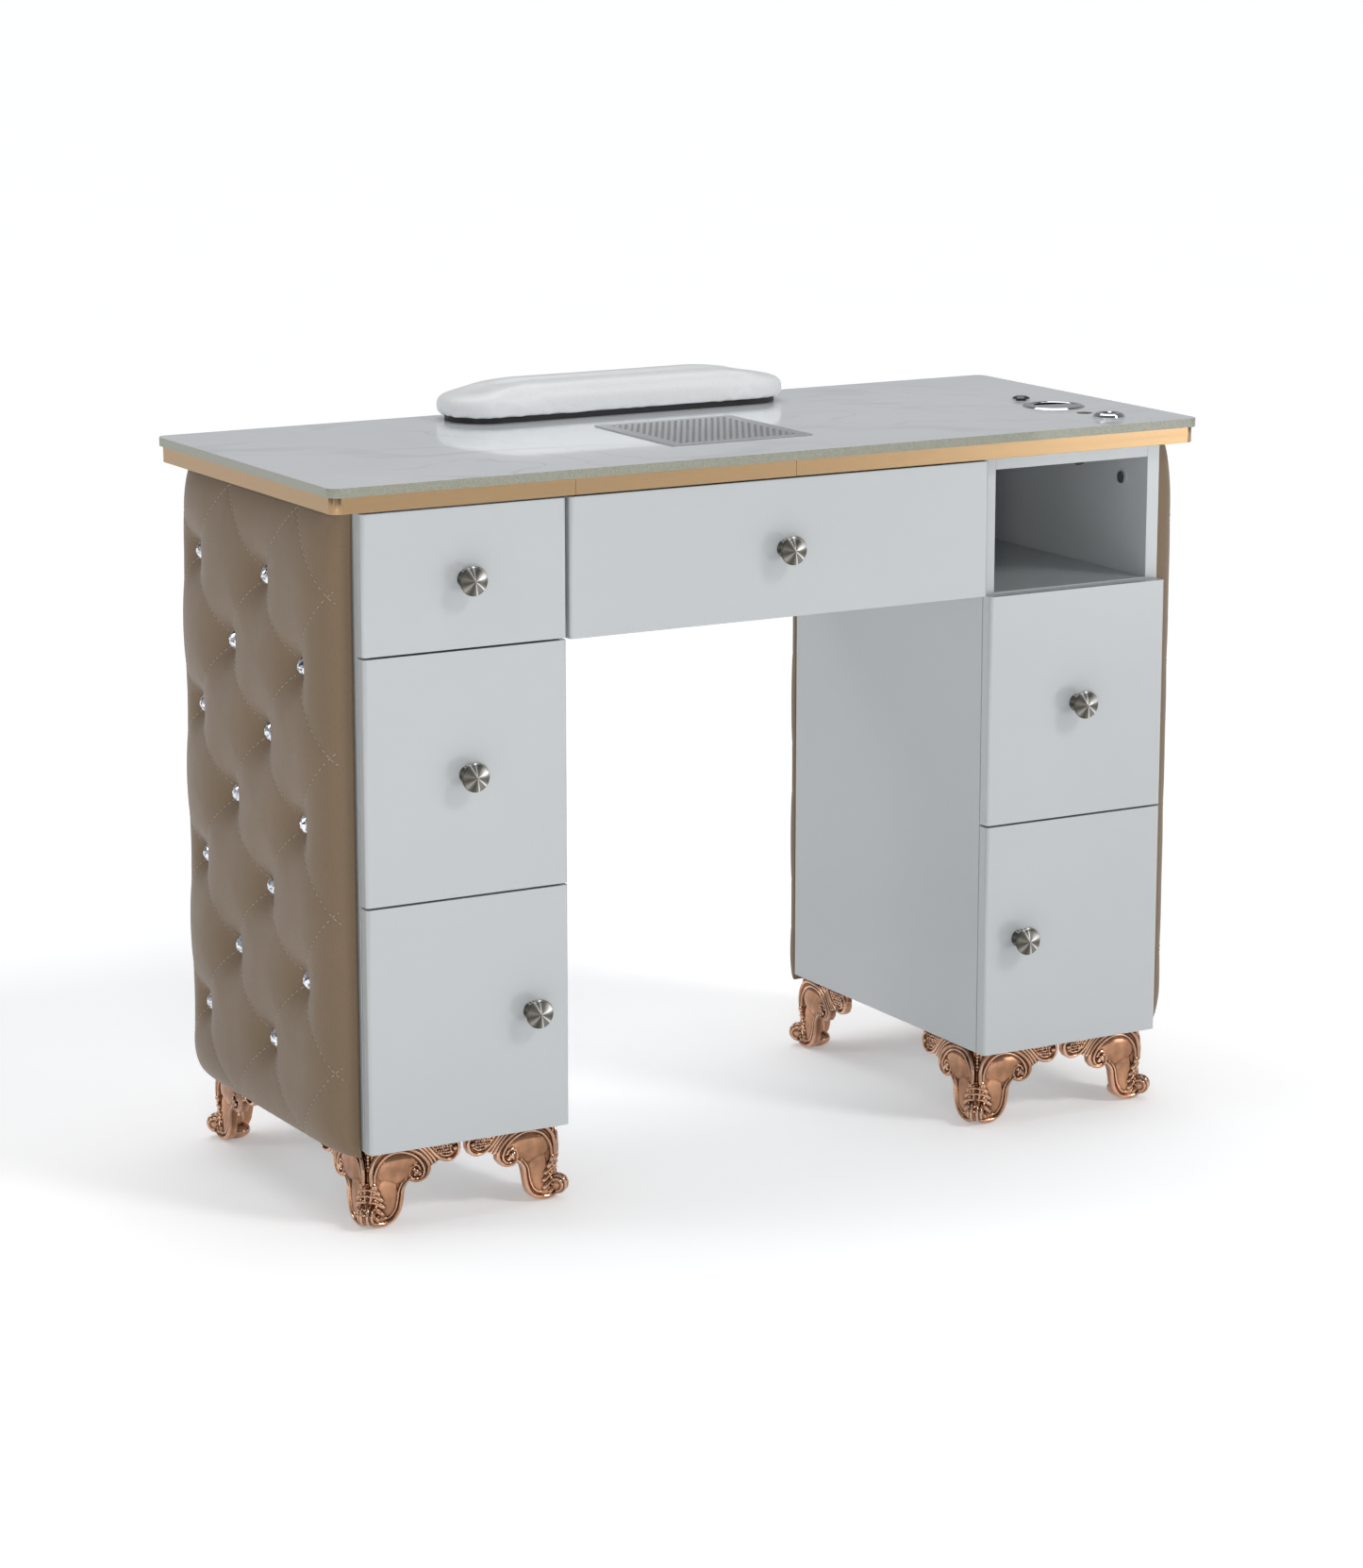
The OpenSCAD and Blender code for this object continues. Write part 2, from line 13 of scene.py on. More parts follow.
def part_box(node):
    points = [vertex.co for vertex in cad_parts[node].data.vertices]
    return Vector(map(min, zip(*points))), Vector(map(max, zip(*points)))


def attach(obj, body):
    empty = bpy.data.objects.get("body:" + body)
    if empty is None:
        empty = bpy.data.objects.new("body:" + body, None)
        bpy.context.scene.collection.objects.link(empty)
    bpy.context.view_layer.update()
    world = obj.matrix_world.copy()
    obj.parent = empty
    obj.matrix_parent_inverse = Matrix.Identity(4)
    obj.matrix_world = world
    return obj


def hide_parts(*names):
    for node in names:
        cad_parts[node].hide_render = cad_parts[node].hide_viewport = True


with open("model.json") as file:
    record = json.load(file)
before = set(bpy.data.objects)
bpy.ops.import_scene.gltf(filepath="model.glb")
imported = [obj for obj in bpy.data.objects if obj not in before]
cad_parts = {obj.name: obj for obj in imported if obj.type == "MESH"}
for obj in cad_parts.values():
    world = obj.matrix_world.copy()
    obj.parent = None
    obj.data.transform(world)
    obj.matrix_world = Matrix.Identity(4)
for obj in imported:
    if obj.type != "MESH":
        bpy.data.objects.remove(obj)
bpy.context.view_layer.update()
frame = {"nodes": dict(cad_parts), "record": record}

MM = 0.001
CAMERA_AT = (-2.4713, -4.3226, 1.5016)
CAMERA_AZIMUTH, CAMERA_ELEVATION = -29.669, 12.480  # degrees
CAMERA_LENS, CAMERA_SENSOR = 101.83, 36  # mm
WORLD_STRENGTH = 0.38
FLOOR_GLOW = 0.24
FOOT_H = 88.9  # mm, top face of a foot
FOOT_VOXEL = (1.1, 0.62)  # mm, quick and full
PAD_GRID = (9.0, 4.6)  # mm, quick and full
ARM_VOXEL = (0.008, 0.004)  # m, quick and full
THREAD_PITCH, THREAD_LENGTH = 5.0, 2.7  # mm
NODES = frame["nodes"]
RECORD = frame["record"]


# ---------------------------------------------------------------- camera and lights
def camera():
    cam = bpy.data.cameras.new("camera")
    cam.sensor_width = CAMERA_SENSOR
    cam.lens = CAMERA_LENS
    cam.clip_end = 100
    obj = bpy.data.objects.new("camera", cam)
    bpy.context.scene.collection.objects.link(obj)
    az, el = math.radians(CAMERA_AZIMUTH), math.radians(CAMERA_ELEVATION)
    back = Vector((math.sin(az) * math.cos(el), -math.cos(az) * math.cos(el), math.sin(el)))
    obj.location = CAMERA_AT
    obj.rotation_euler = (-back).to_track_quat("-Z", "Y").to_euler()
    bpy.context.scene.camera = obj


def area(name, at, aim, size, power, colour=(1, 1, 1), size_y=None):
    light = bpy.data.lights.new(name, "AREA")
    light.energy = power
    light.color = colour
    light.size = size
    if size_y:
        light.shape = "RECTANGLE"
        light.size_y = size_y
    obj = bpy.data.objects.new(name, light)
    bpy.context.scene.collection.objects.link(obj)
    obj.location = at
    obj.rotation_euler = (Vector(aim) - Vector(at)).to_track_quat("-Z", "Y").to_euler()
    return obj


def sun(name, towards, power, angle, colour=(1, 1, 1)):
    light = bpy.data.lights.new(name, "SUN")
    light.energy = power
    light.angle = math.radians(angle)
    light.color = colour
    obj = bpy.data.objects.new(name, light)
    bpy.context.scene.collection.objects.link(obj)
    obj.rotation_euler = Vector(towards).to_track_quat("Z", "Y").to_euler()


def lights():
    sun("key", (1.5, -2.3, 2.4), 0.74, 13, (1.0, 0.99, 0.975))
    sun("fill", (-2.0, -2.6, 1.5), 0.10, 50, (0.985, 0.99, 1.0))
    sun("left_back", (-1.0, 0.5, 0.55), 0.36, 16, (1.0, 0.995, 0.985))
    sun("top", (0.2, 0.9, 3.0), 1.55, 60, (0.98, 0.99, 1.0))
    area("box_right", (2.6, -2.6, 2.3), (0, 0, 0.5), 1.3, 14)
    area("box_left", (-3.2, -1.6, 1.6), (0, 0, 0.5), 1.0, 3, size_y=2.2)
    area("card_right", (2.9, -3.2, 0.45), (0.3, 0, 0.7), 0.9, 7)
    card = area("card_front", (-1.75, -3.3, 0.85), (0.35, 0, 0.7), 0.7, 34)
    card.visible_camera = card.visible_glossy = False
    world = bpy.data.worlds.new("studio")
    bpy.context.scene.world = world
    world.use_nodes = True
    nt = world.node_tree
    bg = nt.nodes["Background"]
    bg.inputs["Strength"].default_value = WORLD_STRENGTH
    coord = nt.nodes.new("ShaderNodeTexCoord")
    sep = nt.nodes.new("ShaderNodeSeparateXYZ")
    nt.links.new(coord.outputs["Generated"], sep.inputs[0])

    def ramp(source, stops):
        n = nt.nodes.new("ShaderNodeValToRGB")
        e = n.color_ramp.elements
        e[0].position, e[0].color = stops[0][0], (*stops[0][1], 1)
        e[1].position, e[1].color = stops[-1][0], (*stops[-1][1], 1)
        for pos, col in stops[1:-1]:
            e.new(pos).color = (*col, 1)
        nt.links.new(source, n.inputs[0])
        return n.outputs[0]

    sky = ramp(sep.outputs["Z"], [(0.0, (0.95, 0.95, 0.96)), (0.18, (0.86, 0.87, 0.89)),
                                  (0.75, (0.30, 0.31, 0.33))])
    nt.links.new(sky, bg.inputs["Color"])
    bpy.context.scene.view_settings.view_transform = "Standard"


# ---------------------------------------------------------------- material helpers
class Mat:
    """A material with a Principled shader and short calls for the nodes that feed it."""

    def __init__(self, name, colour=(0.8, 0.8, 0.8), rough=0.5, metal=0.0, **sockets):
        self.m = bpy.data.materials.new(name)
        self.m.use_nodes = True
        self.nt = self.m.node_tree
        self.p = self.nt.nodes["Principled BSDF"]
        self.set("Base Color", (*colour, 1))
        self.set("Roughness", rough)
        self.set("Metallic", metal)
        for k, v in sockets.items():
            self.set(k.replace("_", " "), v)
        self.coord = self.node("ShaderNodeTexCoord")

    def set(self, socket, value):
        self.p.inputs[socket].default_value = value

    def node(self, kind, **attrs):
        n = self.nt.nodes.new(kind)
        for k, v in attrs.items():
            setattr(n, k, v)
        return n

    def link(self, a, b):
        self.nt.links.new(a, b)

    def mapped(self, scale=(1, 1, 1), rot=(0, 0, 0), loc=(0, 0, 0)):
        n = self.node("ShaderNodeMapping")
        n.inputs["Scale"].default_value = scale
        n.inputs["Rotation"].default_value = rot
        n.inputs["Location"].default_value = loc
        self.link(self.coord.outputs["Object"], n.inputs["Vector"])
        return n.outputs[0]

    def noise(self, scale, detail=2.0, rough=0.5, vec=None):
        n = self.node("ShaderNodeTexNoise")
        n.inputs["Scale"].default_value = scale
        n.inputs["Detail"].default_value = detail
        n.inputs["Roughness"].default_value = rough
        self.link(vec or self.coord.outputs["Object"], n.inputs["Vector"])
        return n.outputs["Fac"]

    def voronoi(self, scale, feature="F1", vec=None, rand=1.0):
        n = self.node("ShaderNodeTexVoronoi", feature=feature)
        n.inputs["Scale"].default_value = scale
        n.inputs["Randomness"].default_value = rand
        self.link(vec or self.coord.outputs["Object"], n.inputs["Vector"])
        return n.outputs["Distance"]

    def math(self, op, a, b=None):
        n = self.node("ShaderNodeMath", operation=op)
        for i, v in enumerate((a, b)):
            if v is None:
                continue
            if isinstance(v, (int, float)):
                n.inputs[i].default_value = v
            else:
                self.link(v, n.inputs[i])
        return n.outputs[0]

    def ramp(self, fac, stops):
        n = self.node("ShaderNodeValToRGB")
        e = n.color_ramp.elements
        e[0].position, e[0].color = stops[0][0], self.rgba(stops[0][1])
        e[1].position, e[1].color = stops[-1][0], self.rgba(stops[-1][1])
        for pos, col in stops[1:-1]:
            e.new(pos).color = self.rgba(col)
        self.link(fac, n.inputs[0])
        return n.outputs[0]

    @staticmethod
    def rgba(c):
        return (c, c, c, 1) if isinstance(c, (int, float)) else (*c, 1)

    def mix(self, fac, a, b, mode="MIX"):
        n = self.node("ShaderNodeMix", data_type="RGBA", blend_type=mode)
        for sock, v in ((n.inputs[0], fac), (n.inputs[6], a), (n.inputs[7], b)):
            if isinstance(v, (int, float)):
                sock.default_value = v
            elif isinstance(v, tuple):
                sock.default_value = (*v, 1)
            else:
                self.link(v, sock)
        return n.outputs[2]

    def colour(self, sock):
        self.link(sock, self.p.inputs["Base Color"])

    def rough(self, sock, lo, hi):
        n = self.node("ShaderNodeMapRange")
        n.inputs["To Min"].default_value = lo
        n.inputs["To Max"].default_value = hi
        self.link(sock, n.inputs[0])
        self.link(n.outputs[0], self.p.inputs["Roughness"])

    def bump(self, *layers):
        """Each layer is (height, distance in metres, strength)."""
        prev = None
        for height, dist, strength in layers:
            n = self.node("ShaderNodeBump")
            n.inputs["Strength"].default_value = strength
            n.inputs["Distance"].default_value = dist
            self.link(height, n.inputs["Height"])
            if prev:
                self.link(prev, n.inputs["Normal"])
            prev = n.outputs[0]
        self.link(prev, self.p.inputs["Normal"])


# ---------------------------------------------------------------- materials
def m_lacquer(name, colour, rough):
    m = Mat(name, colour, rough, Coat_Weight=0.35, Coat_Roughness=0.08)
    cloud = m.noise(5, 3)
    m.colour(m.mix(cloud, tuple(c * 0.965 for c in colour), tuple(min(1, c * 1.02) for c in colour)))
    m.rough(m.noise(60, 3), rough * 0.8, rough * 1.35)
    m.bump((m.noise(14, 2), 0.0009, 0.12), (m.noise(420, 2), 0.0001, 0.14))
    return m.m


def m_stone():
    m = Mat("stone", (0.8, 0.82, 0.84), 0.1, Coat_Weight=0.5, Coat_Roughness=0.04)
    warp = m.noise(2.4, 4, 0.6)
    wv = m.node("ShaderNodeTexWave", wave_type="BANDS", bands_direction="DIAGONAL")
    wv.inputs["Scale"].default_value = 1.1
    wv.inputs["Distortion"].default_value = 14
    wv.inputs["Detail"].default_value = 3.5
    wv.inputs["Detail Scale"].default_value = 1.1
    m.link(m.mapped((1.0, 2.6, 1.0), (0, 0, 0.35)), wv.inputs["Vector"])
    vein = m.ramp(wv.outputs["Fac"], [(0.0, 0.0), (0.88, 0.0), (0.955, 0.75), (1.0, 1.0)])
    fine = m.node("ShaderNodeTexWave", wave_type="BANDS", bands_direction="X")
    fine.inputs["Scale"].default_value = 2.3
    fine.inputs["Distortion"].default_value = 22
    fine.inputs["Detail"].default_value = 4
    m.link(m.mapped((1.0, 1.7, 1.0), (0, 0, -0.6), (3.1, 0.7, 0)), fine.inputs["Vector"])
    hair = m.ramp(fine.outputs["Fac"], [(0.0, 0.0), (0.955, 0.0), (1.0, 0.7)])
    mask = m.ramp(warp, [(0.0, 0.0), (0.46, 0.05), (0.62, 0.9), (1.0, 1.0)])
    amount = m.math("MULTIPLY", m.math("MAXIMUM", vein, hair), mask)
    cloud = m.ramp(m.noise(3.2, 5, 0.6), [(0.3, (0.79, 0.82, 0.855)), (0.7, (0.86, 0.88, 0.90))])
    face = m.mix(m.math("MULTIPLY", amount, 0.42), cloud, (0.43, 0.45, 0.49))
    speck = m.ramp(m.noise(900, 2), [(0.35, (0.20, 0.205, 0.155)), (0.7, (0.30, 0.305, 0.245))])
    geo = m.node("ShaderNodeNewGeometry")
    sep = m.node("ShaderNodeSeparateXYZ")
    m.link(geo.outputs["True Normal"], sep.inputs[0])
    up = m.ramp(sep.outputs["Z"], [(0.78, 0.0), (0.93, 1.0)])
    m.colour(m.mix(up, speck, face))
    r = m.mix(up, (0.38, 0.38, 0.38), (0.07, 0.07, 0.07))
    m.link(m.math("ADD", r, m.math("MULTIPLY", m.noise(30, 3), 0.05)), m.p.inputs["Roughness"])
    m.bump((m.noise(9, 2), 0.0012, 0.05), (m.noise(700, 2), 0.00008, 0.1))
    return m.m


def m_gold():
    m = Mat("brushed_gold", (0.76, 0.52, 0.32), 0.3, 1.0)
    lines = m.noise(1.0, 3, 0.6, m.mapped((9, 9, 2600)))
    broad = m.noise(1.0, 2, 0.5, m.mapped((2.5, 2.5, 160)))
    m.colour(m.mix(lines, (0.32, 0.21, 0.11), (0.47, 0.32, 0.18)))
    m.rough(m.mix(0.5, lines, broad), 0.16, 0.34)
    m.bump((lines, 0.00006, 0.35))
    return m.m


def m_rose():
    m = Mat("rose_gold_plate", (0.62, 0.34, 0.21), 0.12, 1.0)
    geo = m.node("ShaderNodeNewGeometry")
    # Painted shade in the hollows of the casting and a painted highlight on its convex edges, both driven by
    # pointiness.
    painted_cavity_shading = m.ramp(geo.outputs["Pointiness"], [(0.43, (0.035, 0.011, 0.005)), (0.485, (0.32, 0.14, 0.07)),
                                             (0.505, (0.62, 0.325, 0.19)), (0.54, (1.0, 0.72, 0.56))])
    cloud = m.ramp(m.noise(26, 3, 0.55), [(0.38, 0.55), (0.62, 1.0)])
    m.colour(m.mix(1.0, painted_cavity_shading, cloud, "MULTIPLY"))
    m.rough(m.noise(120, 3), 0.07, 0.2)
    m.bump((m.noise(160, 2), 0.0003, 0.12), (m.noise(900, 2), 0.00005, 0.1))
    return m.m


def m_leather(name, dark, light, rough, pebble=620, depth=0.00022):
    m = Mat(name, light, rough, Sheen_Weight=0.08, Sheen_Roughness=0.5, Specular_IOR_Level=0.34)
    cloud = m.noise(6, 4, 0.55)
    cells = m.voronoi(pebble)
    crease = m.voronoi(pebble * 0.55, "DISTANCE_TO_EDGE")
    edge = m.ramp(crease, [(0.0, 0.0), (0.09, 1.0)])
    geo = m.node("ShaderNodeNewGeometry")
    # Painted shade: pointiness darkens the leather in its hollows and creases.
    painted_cavity_shading = m.ramp(geo.outputs["Pointiness"], [(0.44, 0.0), (0.5, 0.75), (0.54, 1.0)])
    base = m.mix(cloud, dark, light)
    base = m.mix(m.math("MULTIPLY", m.math("SUBTRACT", 1.0, painted_cavity_shading), 0.55), base, tuple(c * 0.5 for c in dark))
    m.colour(m.mix(m.math("MULTIPLY", m.math("SUBTRACT", 1.0, edge), 0.22), base,
                   tuple(c * 0.6 for c in dark)))
    m.rough(m.mix(0.5, m.noise(40, 3), cells), rough * 0.8, rough * 1.25)
    m.bump((m.noise(55, 3), 0.0008, 0.12), (edge, depth, 0.35), (cells, depth, 0.2))
    return m.m


def m_chrome(name, colour, rough, scale=900):
    m = Mat(name, colour, rough, 1.0)
    m.colour(m.mix(m.noise(40, 3), tuple(c * 0.93 for c in colour), colour))
    m.rough(m.noise(scale, 3), rough * 0.7, rough * 1.5)
    m.bump((m.noise(scale, 2), 0.00004, 0.15))
    return m.m


def m_nickel():
    """Turned nickel: fine rings of scratches run round the knob's own Z axis, and its colour carries painted
    highlights in wedges round that axis.
    """
    m = Mat("turned_nickel", (0.62, 0.60, 0.57), 0.26, 1.0, Anisotropic=0.85)
    sep = m.node("ShaderNodeSeparateXYZ")
    m.link(m.coord.outputs["Object"], sep.inputs[0])
    rad = m.math("SQRT", m.math("ADD", m.math("MULTIPLY", sep.outputs[0], sep.outputs[0]),
                                m.math("MULTIPLY", sep.outputs[1], sep.outputs[1])))
    comb = m.node("ShaderNodeCombineXYZ")
    m.link(rad, comb.inputs[0])
    m.link(m.math("MULTIPLY", sep.outputs[2], 0.6), comb.inputs[1])
    rings = m.noise(4200, 2, 0.6, comb.outputs[0])
    ang = m.math("ARCTAN2", sep.outputs[1], sep.outputs[0])
    comb2 = m.node("ShaderNodeCombineXYZ")
    m.link(m.math("SINE", ang), comb2.inputs[0])
    m.link(m.math("COSINE", ang), comb2.inputs[1])
    # Painted highlight: a dark colour with a few bright wedges by angle round the axis, standing in for the
    # reflections of the spin brushing.
    painted_glint_wedges = m.noise(1.15, 0, 0.5, comb2.outputs[0])
    m.colour(m.ramp(painted_glint_wedges, [(0.36, (0.075, 0.07, 0.056)), (0.50, (0.16, 0.152, 0.13)),
                            (0.575, (0.30, 0.29, 0.27)), (0.63, (0.85, 0.85, 0.84)),
                            (0.68, (0.21, 0.20, 0.18))]))
    m.rough(rings, 0.2, 0.36)
    m.bump((rings, 0.00006, 0.4))
    tan = m.node("ShaderNodeTangent", direction_type="RADIAL", axis="Z")
    m.link(tan.outputs[0], m.p.inputs["Tangent"])
    return m.m


def m_crystal():
    m = Mat("cut_crystal", (0.9, 0.92, 0.95), 0.04, 0.85, Coat_Weight=1.0, Coat_Roughness=0.02, IOR=1.55)
    geo = m.node("ShaderNodeNewGeometry")
    # Painted reflections: white noise on the true normal gives each flat facet its own dark or bright colour.
    painted_facet_reflection = m.node("ShaderNodeTexWhiteNoise", noise_dimensions="3D")
    m.link(geo.outputs["True Normal"], painted_facet_reflection.inputs["Vector"])
    m.colour(m.ramp(painted_facet_reflection.outputs["Value"], [(0.0, (0.10, 0.11, 0.13)), (0.32, (0.38, 0.41, 0.46)),
                                          (0.55, (0.80, 0.83, 0.88)), (1.0, (1.0, 1.0, 1.0))]))
    m.rough(m.noise(300, 2), 0.02, 0.07)
    return m.m


def m_plastic(name, colour, rough, scale=500, depth=0.0001):
    m = Mat(name, colour, rough)
    m.colour(m.mix(m.noise(30, 3), colour, tuple(min(1, c * 1.35 + 0.004) for c in colour)))
    m.rough(m.noise(scale, 3), rough * 0.85, rough * 1.2)
    m.bump((m.noise(scale, 3), depth, 0.25))
    return m.m


def m_thread(name, colour):
    m = Mat(name, colour, 0.6)
    twist = m.noise(1.0, 2, 0.5, m.mapped((4000, 4000, 4000)))
    m.colour(m.mix(twist, tuple(c * 0.75 for c in colour), colour))
    m.bump((twist, 0.00008, 0.4))
    return m.m


def m_steel(name, colour, rough):
    m = Mat(name, colour, rough, 1.0)
    streak = m.noise(1.0, 3, 0.6, m.mapped((600, 6, 600)))
    m.colour(m.mix(streak, tuple(c * 0.82 for c in colour), colour))
    m.rough(streak, rough * 0.8, rough * 1.3)
    m.bump((streak, 0.00005, 0.25))
    return m.m


MATS = {}


def materials():
    MATS.update(
        stone=m_stone(),
        board=m_lacquer("white_lacquer", (0.45, 0.472, 0.48), 0.2),
        drawer_board=m_lacquer("white_laminate", (0.66, 0.67, 0.675), 0.42),
        gold_band=m_gold(),
        rose_gold=m_rose(),
        leather=m_leather("taupe_leather", (0.166, 0.113, 0.066), (0.212, 0.147, 0.089), 0.46),
        crystal=m_crystal(),
        steel=m_steel("zinc_steel", (0.66, 0.67, 0.69), 0.32),
        nickel=m_nickel(),
        black_plastic=m_plastic("black_plastic", (0.018, 0.018, 0.019), 0.5),
        black_gloss=m_plastic("black_gloss", (0.012, 0.012, 0.014), 0.12, 200, 0.00003),
        chrome=m_chrome("chrome", (0.80, 0.81, 0.83), 0.08),
        grille_metal=m_chrome("satin_aluminium", (0.66, 0.67, 0.68), 0.34, 1500),
        wire=m_plastic("wire_insulation", (0.03, 0.018, 0.016), 0.4),
        white_leather=m_leather("white_leather", (0.80, 0.815, 0.815), (0.88, 0.89, 0.89), 0.36, 760,
                                0.00012),
    )
    MATS["thread"] = m_thread("taupe_thread", (0.40, 0.335, 0.262))


# ---------------------------------------------------------------- mesh helpers
def link_mesh(name, mesh, mat, smooth=True):
    obj = bpy.data.objects.new(name, mesh)
    bpy.context.scene.collection.objects.link(obj)
    mesh.materials.clear()
    mesh.materials.append(mat)
    if smooth:
        mesh.polygons.foreach_set("use_smooth", [True] * len(mesh.polygons))
    return obj


def new_mesh(name, verts, faces):
    mesh = bpy.data.meshes.new(name)
    mesh.from_pydata([tuple(v) for v in verts], [], [tuple(f) for f in faces])
    mesh.validate()
    mesh.update()
    return mesh


def outward(mesh):
    """Turns every face of a closed mesh outwards."""
    bm = bmesh.new()
    bm.from_mesh(mesh)
    bmesh.ops.recalc_face_normals(bm, faces=bm.faces)
    bm.to_mesh(mesh)
    bm.free()


class Soup:
    """Gathers many small closed shapes, in millimetres, into one mesh."""

    def __init__(self):
        self.v, self.f = [], []

    def add(self, verts, faces):
        n = len(self.v)
        self.v += [tuple(p) for p in verts]
        self.f += [tuple(i + n for i in f) for f in faces]

    def tube(self, pts, radii, seg=10):
        pts = [Vector(p) for p in pts]
        if isinstance(radii, (int, float)):
            radii = [radii] * len(pts)
        n = len(pts)
        verts, faces = [], []
        normal = None
        for i, p in enumerate(pts):
            a = pts[max(i - 1, 0)]
            b = pts[min(i + 1, n - 1)]
            t = (b - a).normalized()
            if normal is None:
                ref = Vector((0, 0, 1)) if abs(t.z) < 0.9 else Vector((0, 1, 0))
                normal = (ref - t * ref.dot(t)).normalized()
            else:
                normal = (normal - t * normal.dot(t)).normalized()
            side = t.cross(normal)
            for k in range(seg):
                w = 2 * math.pi * k / seg
                verts.append(p + (normal * math.cos(w) + side * math.sin(w)) * radii[i])
        for i in range(n - 1):
            for k in range(seg):
                a, b = i * seg + k, i * seg + (k + 1) % seg
                faces.append((a, b, b + seg, a + seg))
        faces.append(tuple(range(seg - 1, -1, -1)))
        faces.append(tuple((n - 1) * seg + k for k in range(seg)))
        self.add(verts, faces)

    def ball(self, at, r, scale=(1, 1, 1), seg=12, rings=8):
        verts, faces = [Vector((0, 0, 1))], []
        for i in range(1, rings):
            a = math.pi * i / rings
            for k in range(seg):
                w = 2 * math.pi * k / seg
                verts.append(Vector((math.sin(a) * math.cos(w), math.sin(a) * math.sin(w), math.cos(a))))
        verts.append(Vector((0, 0, -1)))
        last = len(verts) - 1
        for k in range(seg):
            faces.append((0, 1 + k, 1 + (k + 1) % seg))
            faces.append((last, last - seg + (k + 1) % seg, last - seg + k))
        for i in range(rings - 2):
            for k in range(seg):
                a, b = 1 + i * seg + k, 1 + i * seg + (k + 1) % seg
                faces.append((a, a + seg, b + seg, b))
        out = []
        for v in verts:
            v = Vector((v.x * scale[0], v.y * scale[1], v.z * scale[2])) * r
            out.append(v + Vector(at))
        self.add(out, faces)

    def prism(self, outline, y0, y1):
        """An outline of (x, z) points carried from y0 to y1."""
        n = len(outline)
        area2 = sum(outline[i][0] * outline[(i + 1) % n][1] - outline[(i + 1) % n][0] * outline[i][1]
                    for i in range(n))
        if area2 < 0:
            outline = outline[::-1]
        verts = [(x, y0, z) for x, z in outline] + [(x, y1, z) for x, z in outline]
        faces = [tuple(range(n)), tuple(range(2 * n - 1, n - 1, -1))]
        for i in range(n):
            j = (i + 1) % n
            faces.append((i, i + n, j + n, j))
        self.add(verts, faces)

    def mesh(self, name, scale=MM):
        return new_mesh(name, [tuple(c * scale for c in v) for v in self.v], self.f)


def smooth_path(pts, per=8):
    """Catmull-Rom through the points."""
    pts = [Vector(p) for p in pts]
    out = []
    n = len(pts)
    for i in range(n - 1):
        p0, p1, p2, p3 = pts[max(i - 1, 0)], pts[i], pts[i + 1], pts[min(i + 2, n - 1)]
        for k in range(per):
            t = k / per
            out.append(0.5 * ((2 * p1) + (p2 - p0) * t + (2 * p0 - 5 * p1 + 4 * p2 - p3) * t * t
                              + (3 * p1 - p0 - 3 * p2 + p3) * t ** 3))
    out.append(pts[-1])
    return out


def coords(mesh):
    co = np.empty(len(mesh.vertices) * 3)
    mesh.vertices.foreach_get("co", co)
    return co.reshape(-1, 3)


def set_coords(mesh, co):
    mesh.vertices.foreach_set("co", co.ravel())


def smooth_faces(mesh):
    mesh.polygons.foreach_set("use_smooth", [True] * len(mesh.polygons))


def only_material(mesh, mat):
    mesh.materials.clear()
    mesh.materials.append(mat)


def baked(obj):
    """Applies every modifier of obj to its mesh."""
    dg = bpy.context.evaluated_depsgraph_get()
    mesh = bpy.data.meshes.new_from_object(obj.evaluated_get(dg))
    obj.modifiers.clear()
    old = obj.data
    obj.data = mesh
    bpy.data.meshes.remove(old)


def lathe(name, profile, mat, seg=72, smooth_deg=40):
    """Turns a closed-ended profile of (radius, height) in mm about Z."""
    verts, faces = [], []
    rows = []
    for r, z in profile:
        if r <= 1e-6:
            rows.append([len(verts)])
            verts.append((0, 0, z * MM))
        else:
            rows.append(list(range(len(verts), len(verts) + seg)))
            verts += [(r * MM * math.cos(2 * math.pi * k / seg), r * MM * math.sin(2 * math.pi * k / seg),
                       z * MM)
                      for k in range(seg)]
    for a, b in zip(rows, rows[1:]):
        for k in range(seg):
            k2 = (k + 1) % seg
            if len(a) == 1 and len(b) == 1:
                continue
            if len(a) == 1:
                faces.append((a[0], b[k2], b[k]))
            elif len(b) == 1:
                faces.append((a[k], a[k2], b[0]))
            else:
                faces.append((a[k], a[k2], b[k2], b[k]))
    mesh = new_mesh(name, verts, faces)
    outward(mesh)
    obj = link_mesh(name, mesh, mat)
    mesh.set_sharp_from_angle(angle=math.radians(smooth_deg))
    return obj


# ---------------------------------------------------------------- CAD nodes
def dress_cad():
    for sub in RECORD["subparts"]:
        obj = NODES[sub["node"]]
        mat = MATS[sub["material_slot"]]
        if not obj.data.materials:
            obj.data.materials.append(mat)
        for i in range(len(obj.data.materials)):
            obj.data.materials[i] = mat


def soften(names, width, segments=2):
    """Rounds the sharp edges of CAD nodes with modifiers only."""
    for n in names:
        obj = NODES[n]
        weld = obj.modifiers.new("weld", "WELD")
        weld.merge_threshold = 0.00001
        bev = obj.modifiers.new("edge", "BEVEL")
        bev.width = width * MM
        bev.segments = segments
        bev.limit_method = "ANGLE"
        bev.angle_limit = math.radians(40)
        bev.harden_normals = True


def boards():
    soften([n for n in NODES if n[:2] in ("l_", "r_") or n == "apron"], 0.6)
    soften(["dl1_front", "dl2_front", "dc_front", "dr_front", "doorl_panel", "doorr_panel"], 0.9, 3)
    soften(["top_slab"], 0.7, 3)
    soften(["trim_left", "trim_mid", "trim_right"], 0.3)


